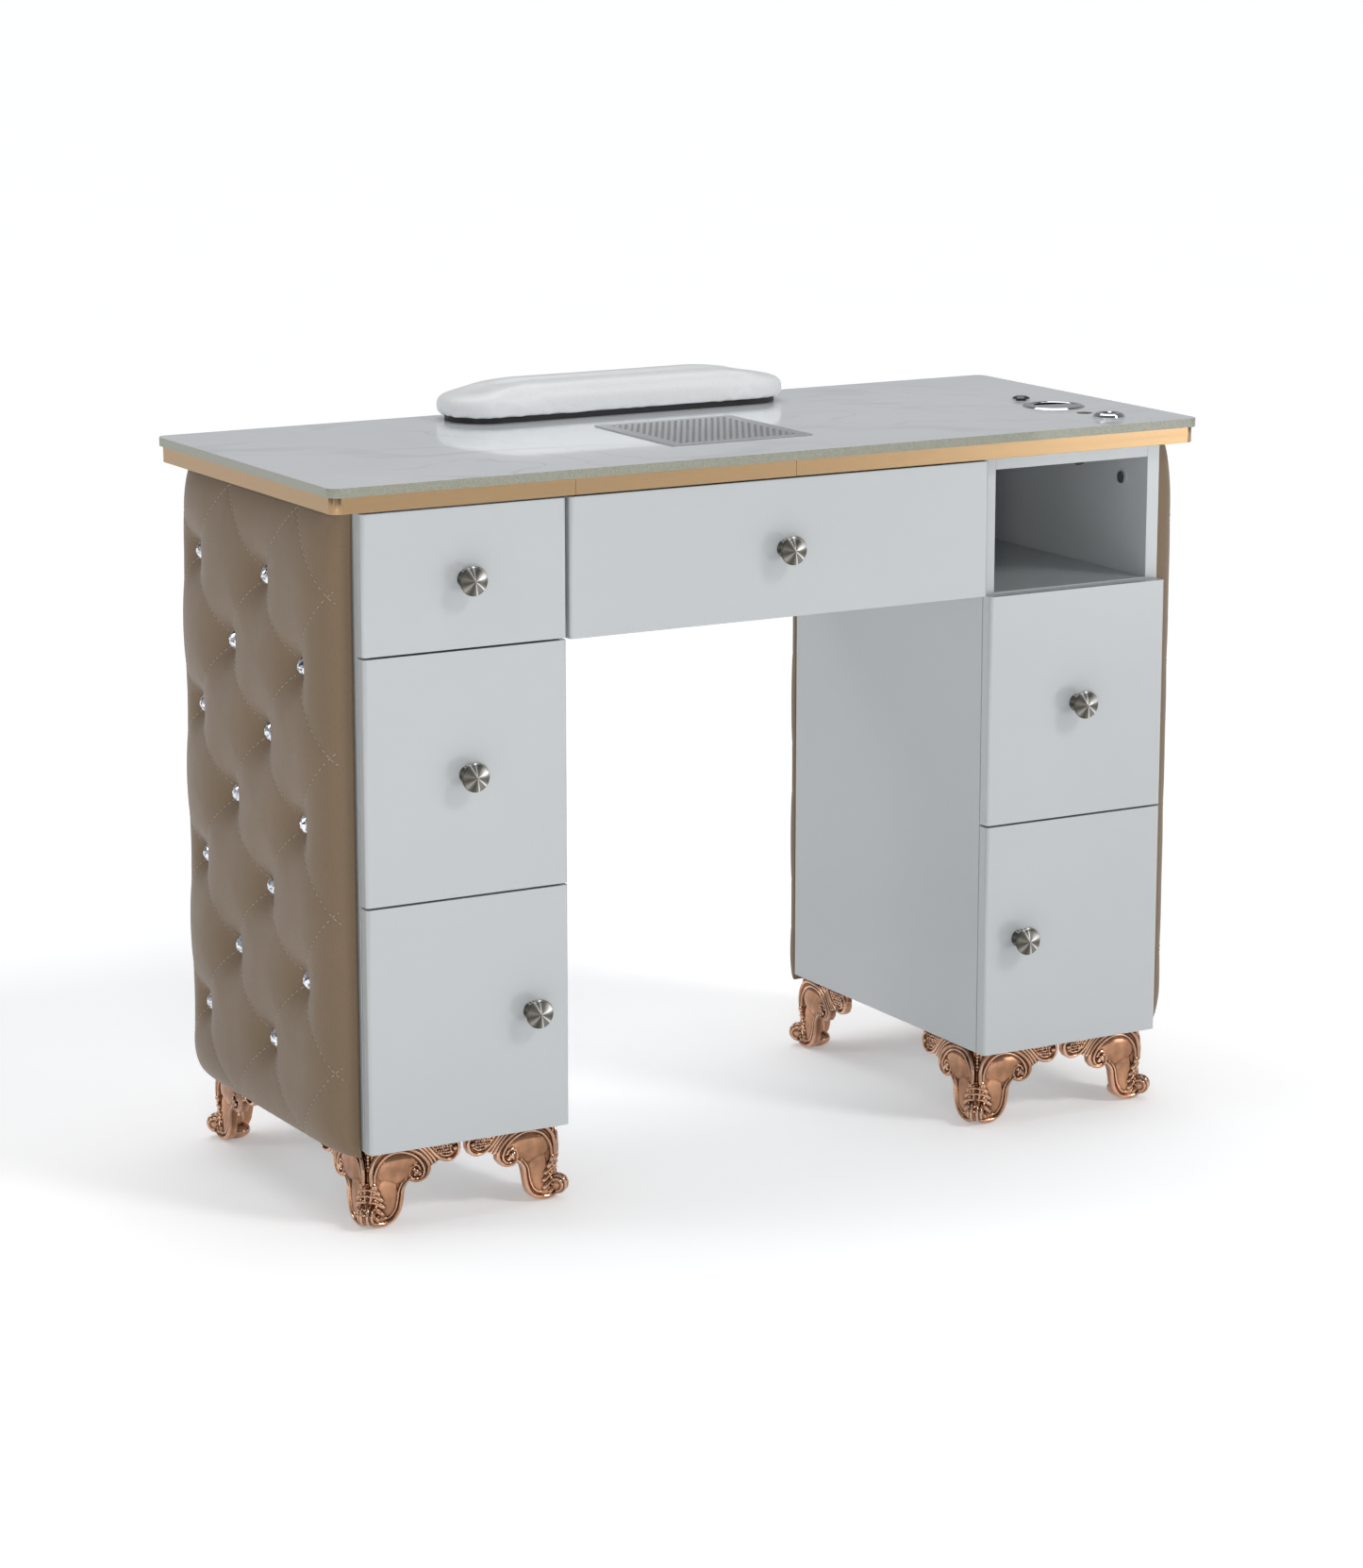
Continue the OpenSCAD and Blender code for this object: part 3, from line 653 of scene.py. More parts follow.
# ---------------------------------------------------------------- feet
WING_OUTLINE = [(9, 50), (8, 62), (11, 73), (16, 81), (22, 88.9), (116, 88.9), (117.6, 80), (117, 73),
                (113.5, 66.5), (107, 62.6), (98.5, 62.4), (91, 65.4), (87.5, 63.2), (83.5, 61.2), (81, 60),
                (80, 53.5), (75, 47.6), (68, 45), (60, 45.4), (55, 48.4), (51, 46), (48.6, 39), (46.8, 28),
                (44.6, 17), (39.8, 8.4), (32, 3), (23, 1.4), (13, 1.6), (7, 4), (5, 12), (6, 26), (9, 38)]


def wing(s, seed):
    """One scrolled wing along +X with its face towards -Y, in millimetres."""
    rnd = random.Random(seed)
    s.prism(WING_OUTLINE, 3.4, 11.0)

    def line(pts, r, y=3.0, per=6, seg=10):
        path = smooth_path([(x, y, z) for x, z in pts], per)
        n = len(path) - 1
        radii = r if isinstance(r, (int, float)) else [r[0] + (r[1] - r[0]) * i / n for i in range(n + 1)]
        s.tube(path, radii, seg)
        for i in (0, -1):
            s.ball(path[i], radii if isinstance(radii, (int, float)) else radii[i], seg=8, rings=6)

    # face of the leg, a smooth shield
    s.ball((41, 4.2, 63), 1, (27, 3.4, 17), 28, 14)
    s.ball((29, 4.2, 33), 1, (12.5, 3.0, 27), 24, 14)
    # rim that arches over the shield and winds into the volute
    line([(12.5, 49), (13.5, 60), (17, 69), (24, 77), (34, 81.6), (46, 81.6), (57, 77.6), (65.5, 71),
          (71, 63), (72.4, 56), (69.6, 50.6), (64, 48.8), (58.4, 50.4), (55, 55), (55.8, 61), (60, 64.4),
          (65, 63.4), (67.4, 59.4)], (1.7, 1.5), 2.5)
    line([(9.4, 50), (8.8, 61), (11, 72), (16, 80), (24, 85.2), (36, 86.6), (50, 85.2), (63, 79.6),
          (73.4, 70.6), (78.2, 62), (77.6, 54.6), (73, 49.2), (66.6, 47), (60, 47.8), (55.6, 51)], (2.3, 2.5),
         2.9)
    for at, r in (((62.4, 0.9, 57.6), 3.2), ((66.2, 0.9, 54.6), 2.4), ((59.8, 0.9, 60.4), 2.0),
                  ((60.4, 0.9, 54.6), 1.7)):
        s.ball(at, r, (1, 0.9, 1), 12, 8)
    # ridges between the volute and the shell
    line([(61, 86.6), (71, 79), (79, 69.6), (82.4, 63.4)], (1.5, 1.9), 3.0)
    line([(67.5, 86.8), (76.4, 78.4), (83.6, 69.8), (86.8, 64.8)], (1.4, 1.7), 2.8)
    line([(73.6, 87), (81, 78.4), (88.4, 70.4), (96.6, 65.6), (105.6, 64.8), (112, 68.4), (114.8, 74.6),
          (114.2, 81), (111, 86)], (2.0, 2.2), 2.8)
    line([(79.6, 86), (86.6, 77), (94.6, 70.6), (102.4, 69.4), (107.4, 72.4)], (1.1, 1.3), 3.0)
    s.ball((109.6, 1.6, 77), 2.6)
    s.ball((105, 2.2, 80.6), 1.8)
    # beaded scoop of the shell
    for row in range(5):
        z = 73.4 + 2.9 * row
        x = 88.6 - 2.2 * row + (row % 2) * 1.3
        while x < 107.5 - abs(row - 2) * 0.6:
            s.ball((x + rnd.uniform(-0.5, 0.5), 2.9, z + rnd.uniform(-0.4, 0.4)), rnd.uniform(1.1, 1.6),
                   seg=8, rings=6)
            x += 2.8
    # rim down the inner edge to the toe, with a fine line inside it
    line([(55.6, 50.6), (51, 47.2), (46.8, 40.4), (45, 29), (42.6, 18.4), (37.6, 10.2), (30.6, 5.4),
          (22, 3.8), (13, 4.4), (6, 8)], (2.3, 2.7), 2.9)
    line([(50.6, 51.4), (45.4, 46.6), (41.6, 39), (39.8, 28), (36.6, 18.6), (30.6, 11.8), (22.6, 9.4)],
         (1.0, 1.2), 2.2)
    # acanthus lobes from the corner rib
    lobes = ((13.4, 45.4), (17, 38.6), (20.8, 31.4), (22.8, 23.4), (21.8, 15), (15.6, 9.2))
    for i, (x, z) in enumerate(lobes):
        z0 = 49.5 - 6.6 * i
        y0 = 9.4 - 1.0 * i
        path = smooth_path([(y0, y0, z0), ((y0 + x) / 2, 3.4, (z0 + z) / 2 + 2.2), (x, 1.8, z)], 5)
        n = len(path) - 1
        s.tube(path, [1.7 + 1.5 * math.sin(math.pi * min(1, k / n * 0.8)) for k in range(n + 1)], 9)
        s.ball((x, 1.8, z), 2.4, seg=10, rings=7)
        s.ball((x - 3.4, 0.6, z + 2.6), 1.4, seg=8, rings=6)
        s.ball(((y0 + x) / 2 - 1, 1.2, (z0 + z) / 2 - 1.6), 1.5, seg=8, rings=6)


def foot_mesh():
    one = Soup()
    wing(one, 5)
    s = Soup()
    s.add(one.v, one.f)
    s.add([(y, x, z) for x, y, z in one.v], [f[::-1] for f in one.f])
    # corner rib, groove of beads and the mass of the ankle
    s.tube([(17, 17, 20), (17, 17, 88.6)], 10.6, 20)
    for k in range(9):
        d = 8.4 + 0.12 * k
        s.ball((d, d, 84.5 - 3.9 * k), 2.3 - 0.07 * k, seg=10, rings=7)
    s.tube(smooth_path([(10, 10, 58), (10.4, 10.4, 44), (9.4, 9.4, 32), (5, 5, 25), (1.5, 1.5, 23)], 5), 3.0,
           12)
    s.ball((17, 17, 24), 1, (14, 14, 22), 20, 14)
    s.ball((19, 19, 10.5), 1, (18.5, 18.5, 10.5), 24, 14)
    # curled toe
    c, out, up = Vector((3.8, 3.8, 16.5)), Vector((-1, -1, 0)).normalized(), Vector((0, 0, 1))
    across = out.cross(up)
    s.ball(c, 9.6, seg=24, rings=16)
    for off, r in ((-7.4, 6.6), (-3.4, 9.6), (3.4, 9.6), (7.4, 6.6)):
        arc = [c + across * off + (out * math.cos(a) + up * math.sin(a)) * r
               for a in (math.radians(115 - 11 * k) for k in range(20))]
        s.tube(arc, 1.7, 9)
        s.ball(arc[0], 2.1, seg=9, rings=6)
    for k, a in enumerate((118, 84, 50, 16)):
        a = math.radians(a)
        s.ball(c + (out * math.cos(a) + up * math.sin(a)) * 10.2, 2.0 - 0.15 * k, seg=9, rings=6)
    # flange screwed to the underside of the carcass
    s.prism([(20, 86.4), (116, 86.4), (116, 88.9), (20, 88.9)], 10, 30)
    s.prism([(10, 86.4), (30, 86.4), (30, 88.9), (10, 88.9)], 10, 116)
    raw = link_mesh("foot_raw", s.mesh("foot_raw"), MATS["rose_gold"])
    rm = raw.modifiers.new("remesh", "REMESH")
    rm.mode = "VOXEL"
    rm.voxel_size = FOOT_VOXEL[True] * MM
    sm = raw.modifiers.new("smooth", "SMOOTH")
    sm.factor, sm.iterations = 0.5, 2
    dec = raw.modifiers.new("thin", "DECIMATE")
    dec.ratio = 0.38
    baked(raw)
    mesh = raw.data
    co = coords(mesh)
    co[:, 2] = np.clip(co[:, 2], 0, FOOT_H * MM)
    set_coords(mesh, co)
    smooth_faces(mesh)
    mesh.update()
    bpy.data.objects.remove(raw)
    mesh.name = "foot"
    return mesh


def feet():
    mesh = foot_mesh()
    for side in ("left", "right"):
        if side == "left":
            x0, x1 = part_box("l_side_out")[0][0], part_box("l_side_in")[1][0]
        else:
            x0, x1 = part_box("r_side_in")[0][0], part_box("r_side_out")[1][0]
        y0, y1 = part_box("l_side_out")[0][1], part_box("l_side_out")[1][1]
        for k, (x, y) in enumerate(((x0, y0), (x1, y0), (x1, y1), (x0, y1))):
            obj = bpy.data.objects.new(f"foot_{side}_{k + 1}", mesh)
            bpy.context.scene.collection.objects.link(obj)
            obj.location = (x, y, 0)
            obj.rotation_euler = (0, 0, math.radians(90 * k))
            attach(obj, "table")
            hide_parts("feet_" + side)


# ---------------------------------------------------------------- knobs
def knobs():
    profile = [(0, 0), (10, 0), (10.2, 0.7), (9.8, 1.9), (8.9, 4), (8.2, 7), (8.1, 9.4), (8.7, 11.8),
               (10.3, 14.2), (12.9, 16.2), (15.1, 17.4), (15.9, 18.2), (16, 19.2), (15.9, 20.3), (15.4, 21.0),
               (14.7, 21.25), (12.5, 21.9), (10, 22.5), (7, 23.1), (4, 23.5), (2, 23.65), (0, 23.7)]
    for node, body in (("dl1_knob", "left_top_drawer"), ("dl2_knob", "left_middle_drawer"),
                       ("dc_knob", "centre_drawer"), ("dr_knob", "right_drawer"),
                       ("doorl_knob", "left_door"), ("doorr_knob", "right_door")):
        lo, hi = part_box(node)
        obj = lathe("turned_" + node, profile, MATS["nickel"], 96)
        obj.location = ((lo[0] + hi[0]) / 2, hi[1], (lo[2] + hi[2]) / 2)
        obj.rotation_euler = (math.radians(90), 0, 0)
        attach(obj, body)
        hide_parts(node)


# ---------------------------------------------------------------- tufted leather
STEP_Y, STEP_Z = 88.0, 86.0


def smoothstep(x):
    x = np.clip(x, 0, 1)
    return x * x * (3 - 2 * x)


class Panel:
    """A tufted panel: u runs along it, w up it and t outwards, in millimetres."""

    def __init__(self, name, node, place, u_range, w_range, thick, tufts, phase, rolls, dip, warp=None):
        self.name, self.node, self.place = name, node, place
        self.u0, self.u1 = u_range
        self.w0, self.w1 = w_range
        self.t = thick
        self.tufts = tufts
        self.phase = phase
        self.rolls = rolls
        self.dip = dip
        self.warp = warp or (lambda u: u)

    def edge(self, d, depth, low, power=2.3):
        """Share of the full thickness at distance d in from an edge."""
        x = 1 - np.clip(d / depth, 0, 1)
        return low + (1 - low) * (1 - x ** power) ** (1 / power)

    def lattice(self, u, w):
        """Distance to the two families of stitched diagonals."""
        p = (self.warp(u) - self.phase[0]) / STEP_Y
        q = (w - self.phase[1]) / STEP_Z
        a, b = p + q, p - q
        da = np.abs(a - 2 * np.round(a / 2))
        db = np.abs(b - 2 * np.round(b / 2))
        scale = STEP_Y * STEP_Z / math.hypot(STEP_Y, STEP_Z)
        return da * scale, db * scale

    def height(self, u, w):
        f = np.minimum(self.edge(u - self.u0, *self.rolls[0]), 1) * self.edge(self.u1 - u, *self.rolls[1])
        g = self.edge(w - self.w0, *self.rolls[2]) * self.edge(self.w1 - w, *self.rolls[3])
        full = self.t * f * g
        near = np.full(np.shape(u), 1e9)
        for tu, tw in self.tufts:
            near = np.minimum(near, np.hypot(u - tu, w - tw))
        d1, d2 = self.lattice(u, w)
        pull = np.exp(-np.maximum(near - 9, 0) / 30)
        tuck = 0.5 + 2.4 * pull
        valley = np.maximum(tuck * np.exp(-(d1 / 7.5) ** 1.5), tuck * np.exp(-(d2 / 7.5) ** 1.5))
        crown = 0.9 * (1 - np.exp(-(np.minimum(d1, d2) / 22) ** 2))
        dip = self.dip * np.exp(-(np.maximum(near - 10.5, 0) / 19) ** 1.05)
        keep = np.clip(full / self.t, 0, 1)
        return np.maximum(full - 1.6 * keep + (crown - valley) * keep - dip * np.minimum(1, keep * 1.3), 2.0)


def spaced(lo, hi, d_lo, d_hi, step):
    """Positions from lo to hi, packed more closely at both rolled edges."""
    n = 9
    a = [lo + d_lo * (1 - math.cos(math.pi / 2 * i / n)) for i in range(n)]
    b = [hi - d_hi * (1 - math.cos(math.pi / 2 * i / n)) for i in range(n)][::-1]
    m = max(2, round((b[0] - lo - d_lo) / step))
    mid = [lo + d_lo + (b[0] - lo - d_lo) * i / m for i in range(m)]
    return a + mid + b


def panel_mesh(p, step):
    us = spaced(p.u0, p.u1, min(p.rolls[0][0], 30), min(p.rolls[1][0], 30), step)
    ws = spaced(p.w0, p.w1, 30, 30, step)
    U, W = np.meshgrid(us, ws, indexing="ij")
    T = p.height(U, W)
    nu, nw = len(us), len(ws)
    verts = [(U[i, j], W[i, j], T[i, j]) for i in range(nu) for j in range(nw)]
    faces = [(i * nw + j, (i + 1) * nw + j, (i + 1) * nw + j + 1, i * nw + j + 1)
             for i in range(nu - 1) for j in range(nw - 1)]
    ring = ([i * nw for i in range(nu)] + [(nu - 1) * nw + j for j in range(1, nw)]
            + [i * nw + nw - 1 for i in range(nu - 2, -1, -1)] + [j for j in range(nw - 2, 0, -1)])
    back = len(verts)
    verts += [(verts[k][0], verts[k][1], 0.3) for k in ring]
    n = len(ring)
    for i in range(n):
        j = (i + 1) % n
        faces.append((ring[j], ring[i], back + i, back + j))
    mesh = new_mesh(p.name, [tuple(c * MM for c in p.place(*v)) for v in verts], faces)
    outward(mesh)
    return mesh, nu * nw


def stitch_lines(p):
    """Straight diagonals of the lattice in the panel's own plan, cut to the panel."""
    lines = []
    for fam in (1, -1):
        for k in range(-12, 13):
            pts = []
            for i in range(0, 1200):
                w = p.w0 - 20 + i * 0.8
                q = (w - p.phase[1]) / STEP_Z
                pw = (2 * k - fam * q) if fam == 1 else (2 * k + q)
                target = p.phase[0] + STEP_Y * pw
                u = p.unwarp(target)
                if p.u0 + 2.5 < u < p.u1 - 4 and p.w0 + 5 < w < p.w1 - 1:
                    pts.append((u, w))
            if len(pts) > 12:
                lines.append(pts)
    return lines


def inflate(obj, weights, frames, pressure, shrink, limit, stiff=20.0, bend=0.6):
    """Runs cloth on obj with its pinned weights, caps how far each point moves, and applies the result."""
    start = coords(obj.data)
    vg = obj.vertex_groups.new(name="pin")
    for level in sorted(set(np.round(weights, 2))):
        if level > 0:
            vg.add([int(i) for i in np.nonzero(np.abs(weights - level) < 0.005)[0]], float(level), "REPLACE")
    cloth = obj.modifiers.new("cloth", "CLOTH")
    st = cloth.settings
    st.quality = 5
    st.mass = 0.25
    st.tension_stiffness = stiff
    st.compression_stiffness = stiff
    st.shear_stiffness = stiff * 0.4
    st.bending_stiffness = bend
    st.use_pressure = True
    st.uniform_pressure_force = pressure
    st.shrink_min = shrink
    st.shrink_max = shrink
    st.vertex_group_mass = "pin"
    st.pin_stiffness = 6.0
    st.effector_weights.gravity = 0
    cloth.collision_settings.use_collision = False
    scene = bpy.context.scene
    scene.frame_start, scene.frame_end = 1, frames
    cloth.point_cache.frame_start, cloth.point_cache.frame_end = 1, frames
    for f in range(1, frames + 1):
        scene.frame_set(f)
    dg = bpy.context.evaluated_depsgraph_get()
    end = coords(obj.evaluated_get(dg).data)
    obj.modifiers.clear()
    scene.frame_set(1)
    move = end - start
    far = np.linalg.norm(move, axis=1)
    move *= np.minimum(1, limit / np.maximum(far, 1e-9))[:, None]
    set_coords(obj.data, start + move)
    obj.data.update()
    obj.vertex_groups.clear()


def plan_of(p, co):
    """(u, w, t) in mm of points in metres, from the panel's place function."""
    o = np.array(p.place(0, 0, 0), float)
    axes = [np.array(p.place(*(1.0 if k == i else 0.0 for k in range(3))), float) - o for i in range(3)]
    d = co / MM - o
    return [d @ a for a in axes]


def panel(p, body):
    mesh, front = panel_mesh(p, PAD_GRID[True])
    obj = link_mesh(p.name, mesh, MATS["leather"])
    u, w, t = plan_of(p, coords(mesh))
    near = np.full(len(u), 1e9)
    for tu, tw in p.tufts:
        near = np.minimum(near, np.hypot(u - tu, w - tw))
    d1, d2 = p.lattice(u, w)
    line = np.minimum(d1, d2)
    weights = np.where(line < 3.5, 0.7, 0.12)
    weights = np.where(near < 12.5, 1.0, weights)
    rim = np.minimum(np.minimum(u - p.u0, p.u1 - u), np.minimum(w - p.w0, p.w1 - w))
    weights = np.where(rim < 1.2, 1.0, weights)
    weights[front:] = 1.0
    inflate(obj, weights, 14, 1.2, 0.0, 0.0022, 25, 6.0)
    ease = obj.modifiers.new("ease", "SMOOTH")
    ease.factor, ease.iterations = 0.5, 3
    sub = obj.modifiers.new("subdivide", "SUBSURF")
    sub.levels = sub.render_levels = 1
    sub.boundary_smooth = "PRESERVE_CORNERS"
    baked(obj)
    mesh = obj.data
    co = coords(mesh)
    u, w, t = plan_of(p, co)
    d1, d2 = p.lattice(u, w)
    line = np.minimum(d1, d2)
    out = (np.array(p.place(0, 0, 1), float) - np.array(p.place(0, 0, 0), float))
    groove = 0.5 * np.exp(-(line / 2.0) ** 2) * (t > 4) * np.clip((w - p.w0) / 12, 0, 1)
    co -= out[None, :] * (groove * MM)[:, None]
    set_coords(mesh, co)
    bm = bmesh.new()
    bm.from_mesh(mesh)
    bmesh.ops.holes_fill(bm, edges=[e for e in bm.edges if e.is_boundary], sides=0)
    bmesh.ops.recalc_face_normals(bm, faces=bm.faces)
    bm.to_mesh(mesh)
    bm.free()
    smooth_faces(mesh)
    mesh.update()
    only_material(mesh, MATS["leather"])
    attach(obj, body)
    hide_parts(p.node)
    return obj


def stitching(p, leather, body):
    """Threads laid along the diagonals, each a short bead-ended length half sunk in the groove."""
    mesh = leather.data
    tree = BVHTree.FromPolygons([v.co for v in mesh.vertices], [tuple(f.vertices) for f in mesh.polygons
                                                                if len(f.vertices) < 5])
    o = Vector(p.place(0, 0, 0))
    out = Vector(p.place(0, 0, 1)) - o
    s = Soup()
    for pts in stitch_lines(p):
        hits = []
        for u, w in pts[::2]:
            if min(math.hypot(u - a, w - b) for a, b in p.tufts) < 11.5:
                hits.append(None)
                continue
            start = Vector(p.place(u, w, 90)) * MM
            loc, normal, _, _ = tree.ray_cast(start, -out)
            hits.append((loc / MM, normal) if loc else None)
        run = hits
        i = 0
        while i < len(run) - 1:
            if run[i] is None or run[i + 1] is None:
                i += 1
                continue
            j, dist = i, 0.0
            while j + 1 < len(run) and run[j + 1] is not None and dist < THREAD_LENGTH:
                dist += (run[j + 1][0] - run[j][0]).length
                j += 1
            if dist >= THREAD_LENGTH * 0.8:
                a, b = run[i], run[j]
                mid = (a[0] + b[0]) / 2
                n = (a[1] + b[1]).normalized()
                k = (i + j) // 2
                base = run[k][0] if run[k] else mid
                s.tube([a[0] - n * 0.35, a[0] * 0.8 + b[0] * 0.2 + n * 0.12, base + n * 0.3,
                        a[0] * 0.2 + b[0] * 0.8 + n * 0.12, b[0] - n * 0.35], [0.3, 0.5, 0.55, 0.5, 0.3], 5)
            gap = 0.0
            while j + 1 < len(run) and run[j + 1] is not None and gap < THREAD_PITCH - THREAD_LENGTH:
                gap += (run[j + 1][0] - run[j][0]).length
                j += 1
            i = max(j, i + 1)
    obj = link_mesh("thread_" + p.name, s.mesh("thread_" + p.name), MATS["thread"])
    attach(obj, body)


def crystal_set(p, body):
    """Round cut crystals seated in the tufts."""
    seg = 12
    rings = [(9.8, 0.0, 0), (11.0, 1.3, 0), (10.6, 2.2, 0), (7.2, 5.0, 0.5), (3.4, 7.0, 0), (0, 7.6, 0)]
    soup = Soup()
    rnd = random.Random(11)
    for tu, tw in p.tufts:
        base = float(p.height(np.array([tu]), np.array([tw]))[0]) + 0.6
        spin = rnd.uniform(0, math.pi / 6)
        tip = (rnd.uniform(-0.05, 0.05), rnd.uniform(-0.05, 0.05))
        verts = []
        for r, z, half in rings[:-1]:
            for k in range(seg):
                a = 2 * math.pi * (k + half) / seg + spin
                x, y = r * math.cos(a), r * math.sin(a)
                verts.append(p.place(tu + x, tw + y, base + z + x * tip[0] + y * tip[1]))
        verts.append(p.place(tu, tw, base + rings[-1][1]))
        faces = []
        for i in range(len(rings) - 2):
            o, q = i * seg, (i + 1) * seg
            for k in range(seg):
                k2 = (k + 1) % seg
                if rings[i][2] == rings[i + 1][2]:
                    faces.append((o + k, o + k2, q + k2, q + k))
                elif rings[i + 1][2]:
                    faces += [(o + k, o + k2, q + k), (o + k2, q + k2, q + k)]
                else:
                    faces += [(o + k, q + k2, q + k), (o + k, o + k2, q + k2)]
        tipv = len(verts) - 1
        faces += [((len(rings) - 2) * seg + k, (len(rings) - 2) * seg + (k + 1) % seg, tipv)
                  for k in range(seg)]
        faces.append(tuple(range(seg - 1, -1, -1)))
        soup.add(verts, faces)
    mesh = soup.mesh("crystals_" + p.name)
    outward(mesh)
    obj = link_mesh("crystals_" + p.name, mesh, MATS["crystal"], smooth=False)
    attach(obj, body)
    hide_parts("crystals")


def panels():
    lo, hi = (Vector(v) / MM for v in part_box("pad_right"))
    cols = [153 - STEP_Y * c for c in range(4)]
    side_tufts = [(cols[c], 779 - STEP_Z * ((1 if c % 2 == 0 else 2) + 2 * r)) for c in range(4)
                  for r in range(4)
                  if not (c % 2 and r == 3)]
    kink = cols[3]

    def warp(u):
        return np.where(u < kink, kink - (kink - u) * STEP_Y / 72.0, u)

    def unwarp(s):
        return kink - (kink - s) * 72.0 / STEP_Y if s < kink else s

    x0 = lo[0]
    side_rolls = ((62, 0.2, 2.3), (95, 0.15, 2.3), (52, 0.24, 2.1), (90, 0.48, 1.8))
    jobs = []
    for name, node, sign in (("leather_left", "pad_left", -1), ("leather_right", "pad_right", 1)):
        p = Panel(name, node, lambda u, w, t, sign=sign: (sign * (x0 + t), u, w), (lo[1], hi[1]),
                  (lo[2], hi[2]),
                  hi[0] - lo[0], side_tufts, (153, 693), side_rolls, 17.0, warp)
        p.unwarp = unwarp
        jobs.append(p)
    for name, node in (("leather_back_left", "pad_back_left"), ("leather_back_right", "pad_back_right")):
        a, b = (Vector(v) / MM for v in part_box(node))
        cx = (a[0] + b[0]) / 2
        tufts = [(cx + (c - 1) * STEP_Y, 779 - STEP_Z * ((2 if c == 1 else 1) + 2 * r)) for c in range(3)
                 for r in range(4) if not (c == 1 and r == 3)]
        p = Panel(name, node, lambda u, w, t, y0=a[1]: (u, y0 + t, w), (a[0], b[0]), (a[2], b[2]),
                  b[1] - a[1], tufts, (cx - STEP_Y, 693),
                  ((40, 0.3, 2.3), (40, 0.3, 2.3), (40, 0.35, 2.1), (60, 0.6, 1.8)), 10.0)
        p.unwarp = lambda s: s
        jobs.append(p)
    for p in jobs:
        leather = panel(p, "table")
        stitching(p, leather, "table")
        crystal_set(p, "table")


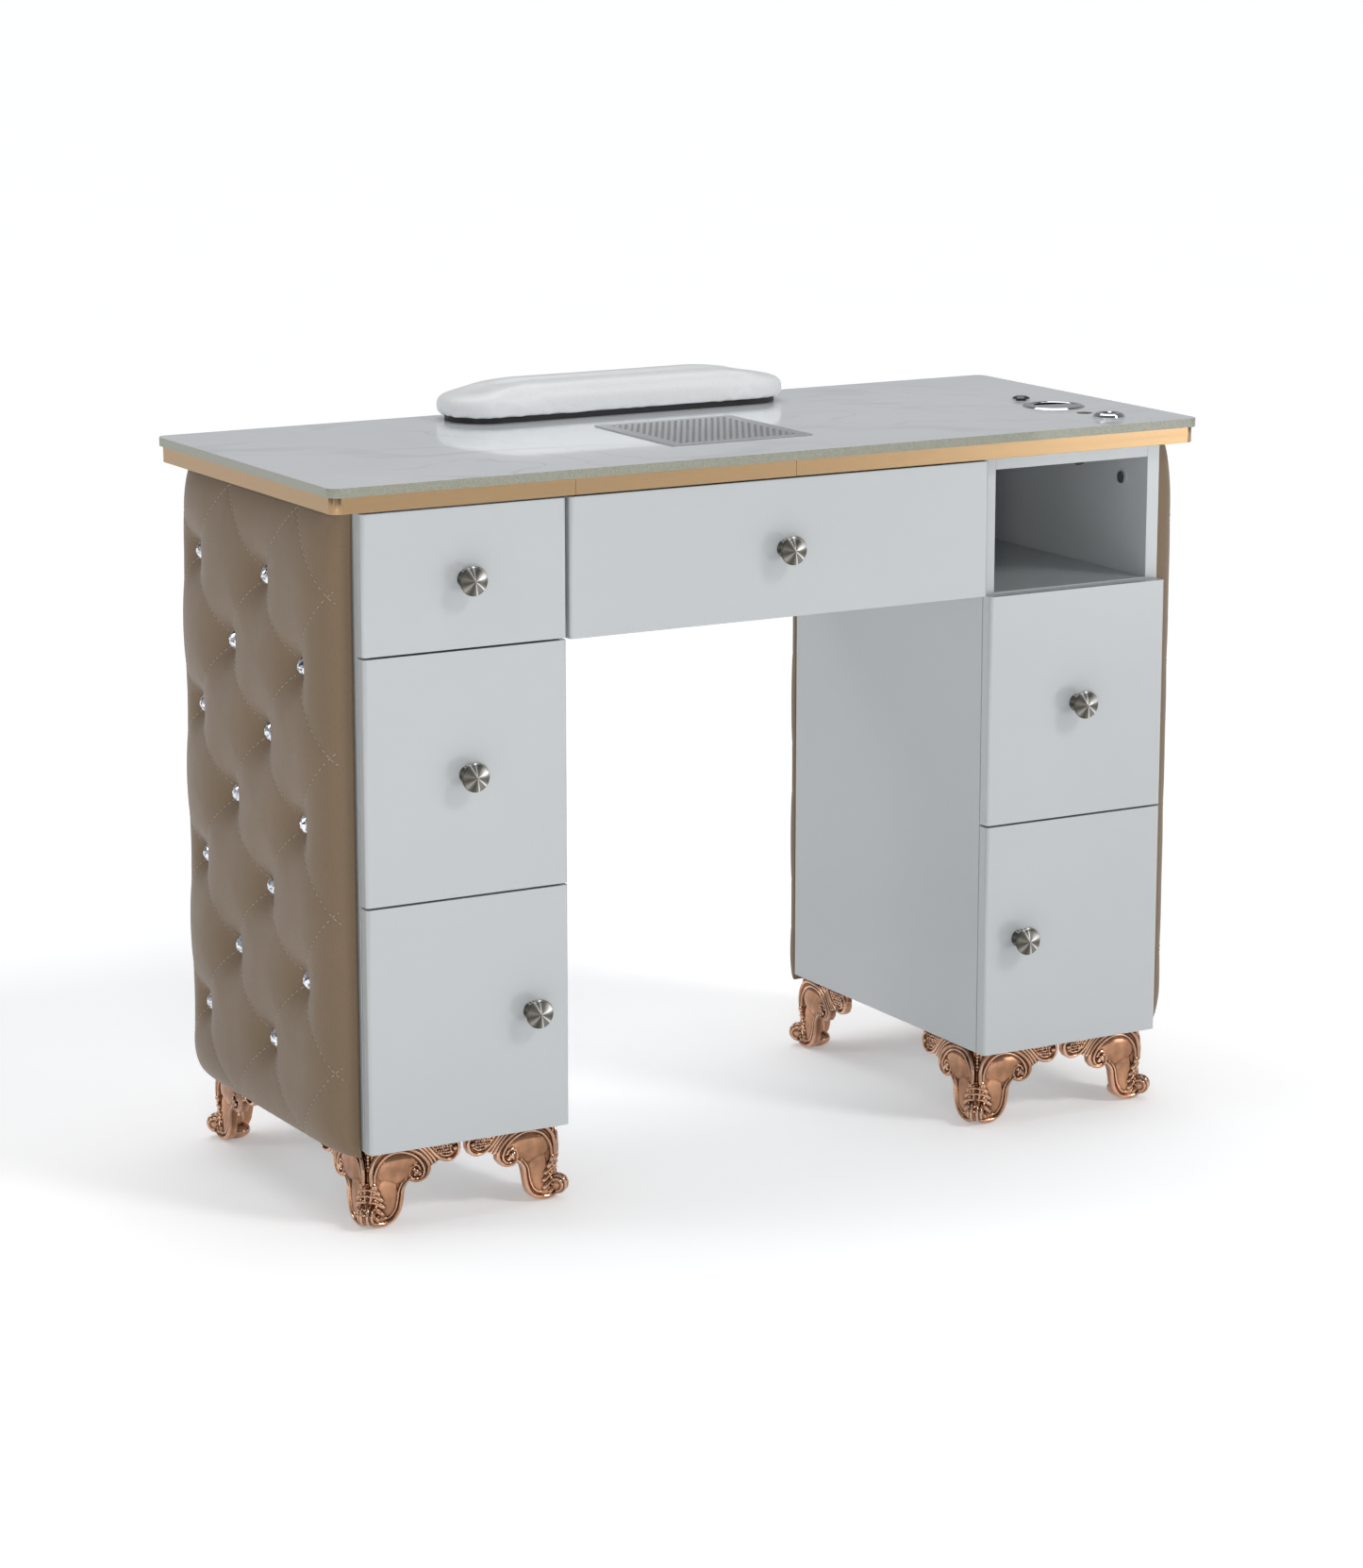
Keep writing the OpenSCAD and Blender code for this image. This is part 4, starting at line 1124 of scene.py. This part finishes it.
# ---------------------------------------------------------------- armrest
def armrest():
    lo, hi = (Vector(v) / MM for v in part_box("arm_cushion"))
    cx, cy = (lo[0] + hi[0]) / 2, (lo[1] + hi[1]) / 2
    hx, hy, z0, top = (hi[0] - lo[0]) / 2, (hi[1] - lo[1]) / 2, lo[2], hi[2] - lo[2]
    r, n = 47.0, 26
    plan = []
    for qx, qy, a0 in ((1, 1, 0), (-1, 1, 90), (-1, -1, 180), (1, -1, 270)):
        for k in range(n + 1):
            a = math.radians(a0 + 90 * k / n)
            plan.append((qx * (hx - r) + r * math.cos(a), qy * (hy - r) + r * math.sin(a)))
        nxt = {0: (-1, 1), 90: (-1, -1), 180: (1, -1), 270: (1, 1)}[a0]
        if a0 in (0, 180):
            x_a, x_b = qx * (hx - r), nxt[0] * (hx - r)
            for k in range(1, 40):
                plan.append((x_a + (x_b - x_a) * k / 40, qy * hy))
    m = len(plan)
    layers = [(0.10, 0.2), (0.035, 0.0), (0.008, 1.6), (0.0, 5), (0.0, 11), (0.008, 17), (0.035, 22.5),
              (0.09, 27), (0.18, 30.4), (0.30, 32.4), (0.45, 33.4), (0.62, 33.9), (0.8, top)]
    verts, faces = [], []
    for f, z in layers:
        for x, y in plan:
            sx = min(max(x, -(hx - hy)), hx - hy)
            px, py = x + (sx - x) * f, y * (1 - f)
            slope = 1 - 0.30 * float(smoothstep((abs(x) - (hx - 105)) / 105.0)) * (z / top) ** 1.2
            verts.append((cx + px, cy + py, z0 + z * slope))
    rows = len(layers)
    for i in range(rows - 1):
        for k in range(m):
            k2 = (k + 1) % m
            faces.append((i * m + k, i * m + k2, (i + 1) * m + k2, (i + 1) * m + k))
    faces.append(tuple(range(m - 1, -1, -1)))
    faces.append(tuple((rows - 1) * m + k for k in range(m)))
    obj = link_mesh("armrest_cushion", new_mesh("armrest_cushion", [tuple(c * MM for c in v) for v in verts],
                                                faces),
                    MATS["white_leather"])
    rm = obj.modifiers.new("remesh", "REMESH")
    rm.mode = "VOXEL"
    rm.voxel_size = ARM_VOXEL[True]
    baked(obj)
    h = coords(obj.data)[:, 2] / MM - z0
    weights = np.where(h < 3.5, 1.0, 0.0)
    inflate(obj, weights, 18, 2.5, -0.01, 0.0025, 25, 2.0)
    sm = obj.modifiers.new("smooth", "SMOOTH")
    sm.factor, sm.iterations = 0.5, 4
    sub = obj.modifiers.new("subdivide", "SUBSURF")
    sub.levels = sub.render_levels = 1
    baked(obj)
    mesh = obj.data
    co = coords(mesh)
    x, y, h = co[:, 0] / MM - cx, co[:, 1] / MM - cy, co[:, 2] / MM - z0
    # leather gathered under the edge, most at the rounded ends
    ends = smoothstep((np.abs(x) - (hx - 60)) / 50)
    ang = np.arctan2(y, np.abs(x) - (hx - hy))
    low = np.exp(-(np.clip(h, 0, 99) / 5.5) ** 2)
    fold = (np.sin(ang * 17 + 1.3 * np.sin(ang * 5)) * (0.35 + 0.65 * ends)
            + 0.5 * np.sin(x * 0.21 + np.sin(x * 0.05) * 3) * (1 - ends))
    side = np.stack([np.cos(ang) * np.sign(x) * ends, np.where(ends > 0.5, np.sin(ang), np.sign(y)),
                     np.zeros_like(x)], 1)
    co -= side * (low * (0.7 + 0.7 * fold) * MM)[:, None]
    co[:, 2] += low * fold * 0.5 * MM * (h > 0.6)
    set_coords(mesh, co)
    smooth_faces(mesh)
    only_material(mesh, MATS["white_leather"])
    mesh.update()
    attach(obj, "armrest")
    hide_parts("arm_cushion")


# ---------------------------------------------------------------- stage
def floor():
    """A pale floor that runs out to the horizon on every side."""
    xs = [-60, -20, -6, -2.6, 0, 2.6, 6, 20, 60]
    ys = [-60, -20, -6, -2, 0, 2, 6, 20, 60]
    verts = [(x, y, 0) for y in ys for x in xs]
    n = len(xs)
    faces = [(j * n + i, j * n + i + 1, (j + 1) * n + i + 1, (j + 1) * n + i)
             for j in range(len(ys) - 1) for i in range(n - 1)]
    m = Mat("floor_paint", (0.92, 0.92, 0.92), 0.8)
    m.colour(m.mix(m.noise(2.5, 3), (0.90, 0.90, 0.905), (0.93, 0.93, 0.935)))
    m.bump((m.noise(200, 2), 0.0002, 0.1))
    m.set("Emission Color", (1, 1, 1, 1))
    m.set("Emission Strength", FLOOR_GLOW)
    obj = link_mesh("floor", new_mesh("floor", verts, faces), m.m)
    obj.location.z = -0.0002


camera()
lights()
materials()
dress_cad()
boards()
feet()
knobs()
panels()
armrest()
floor()
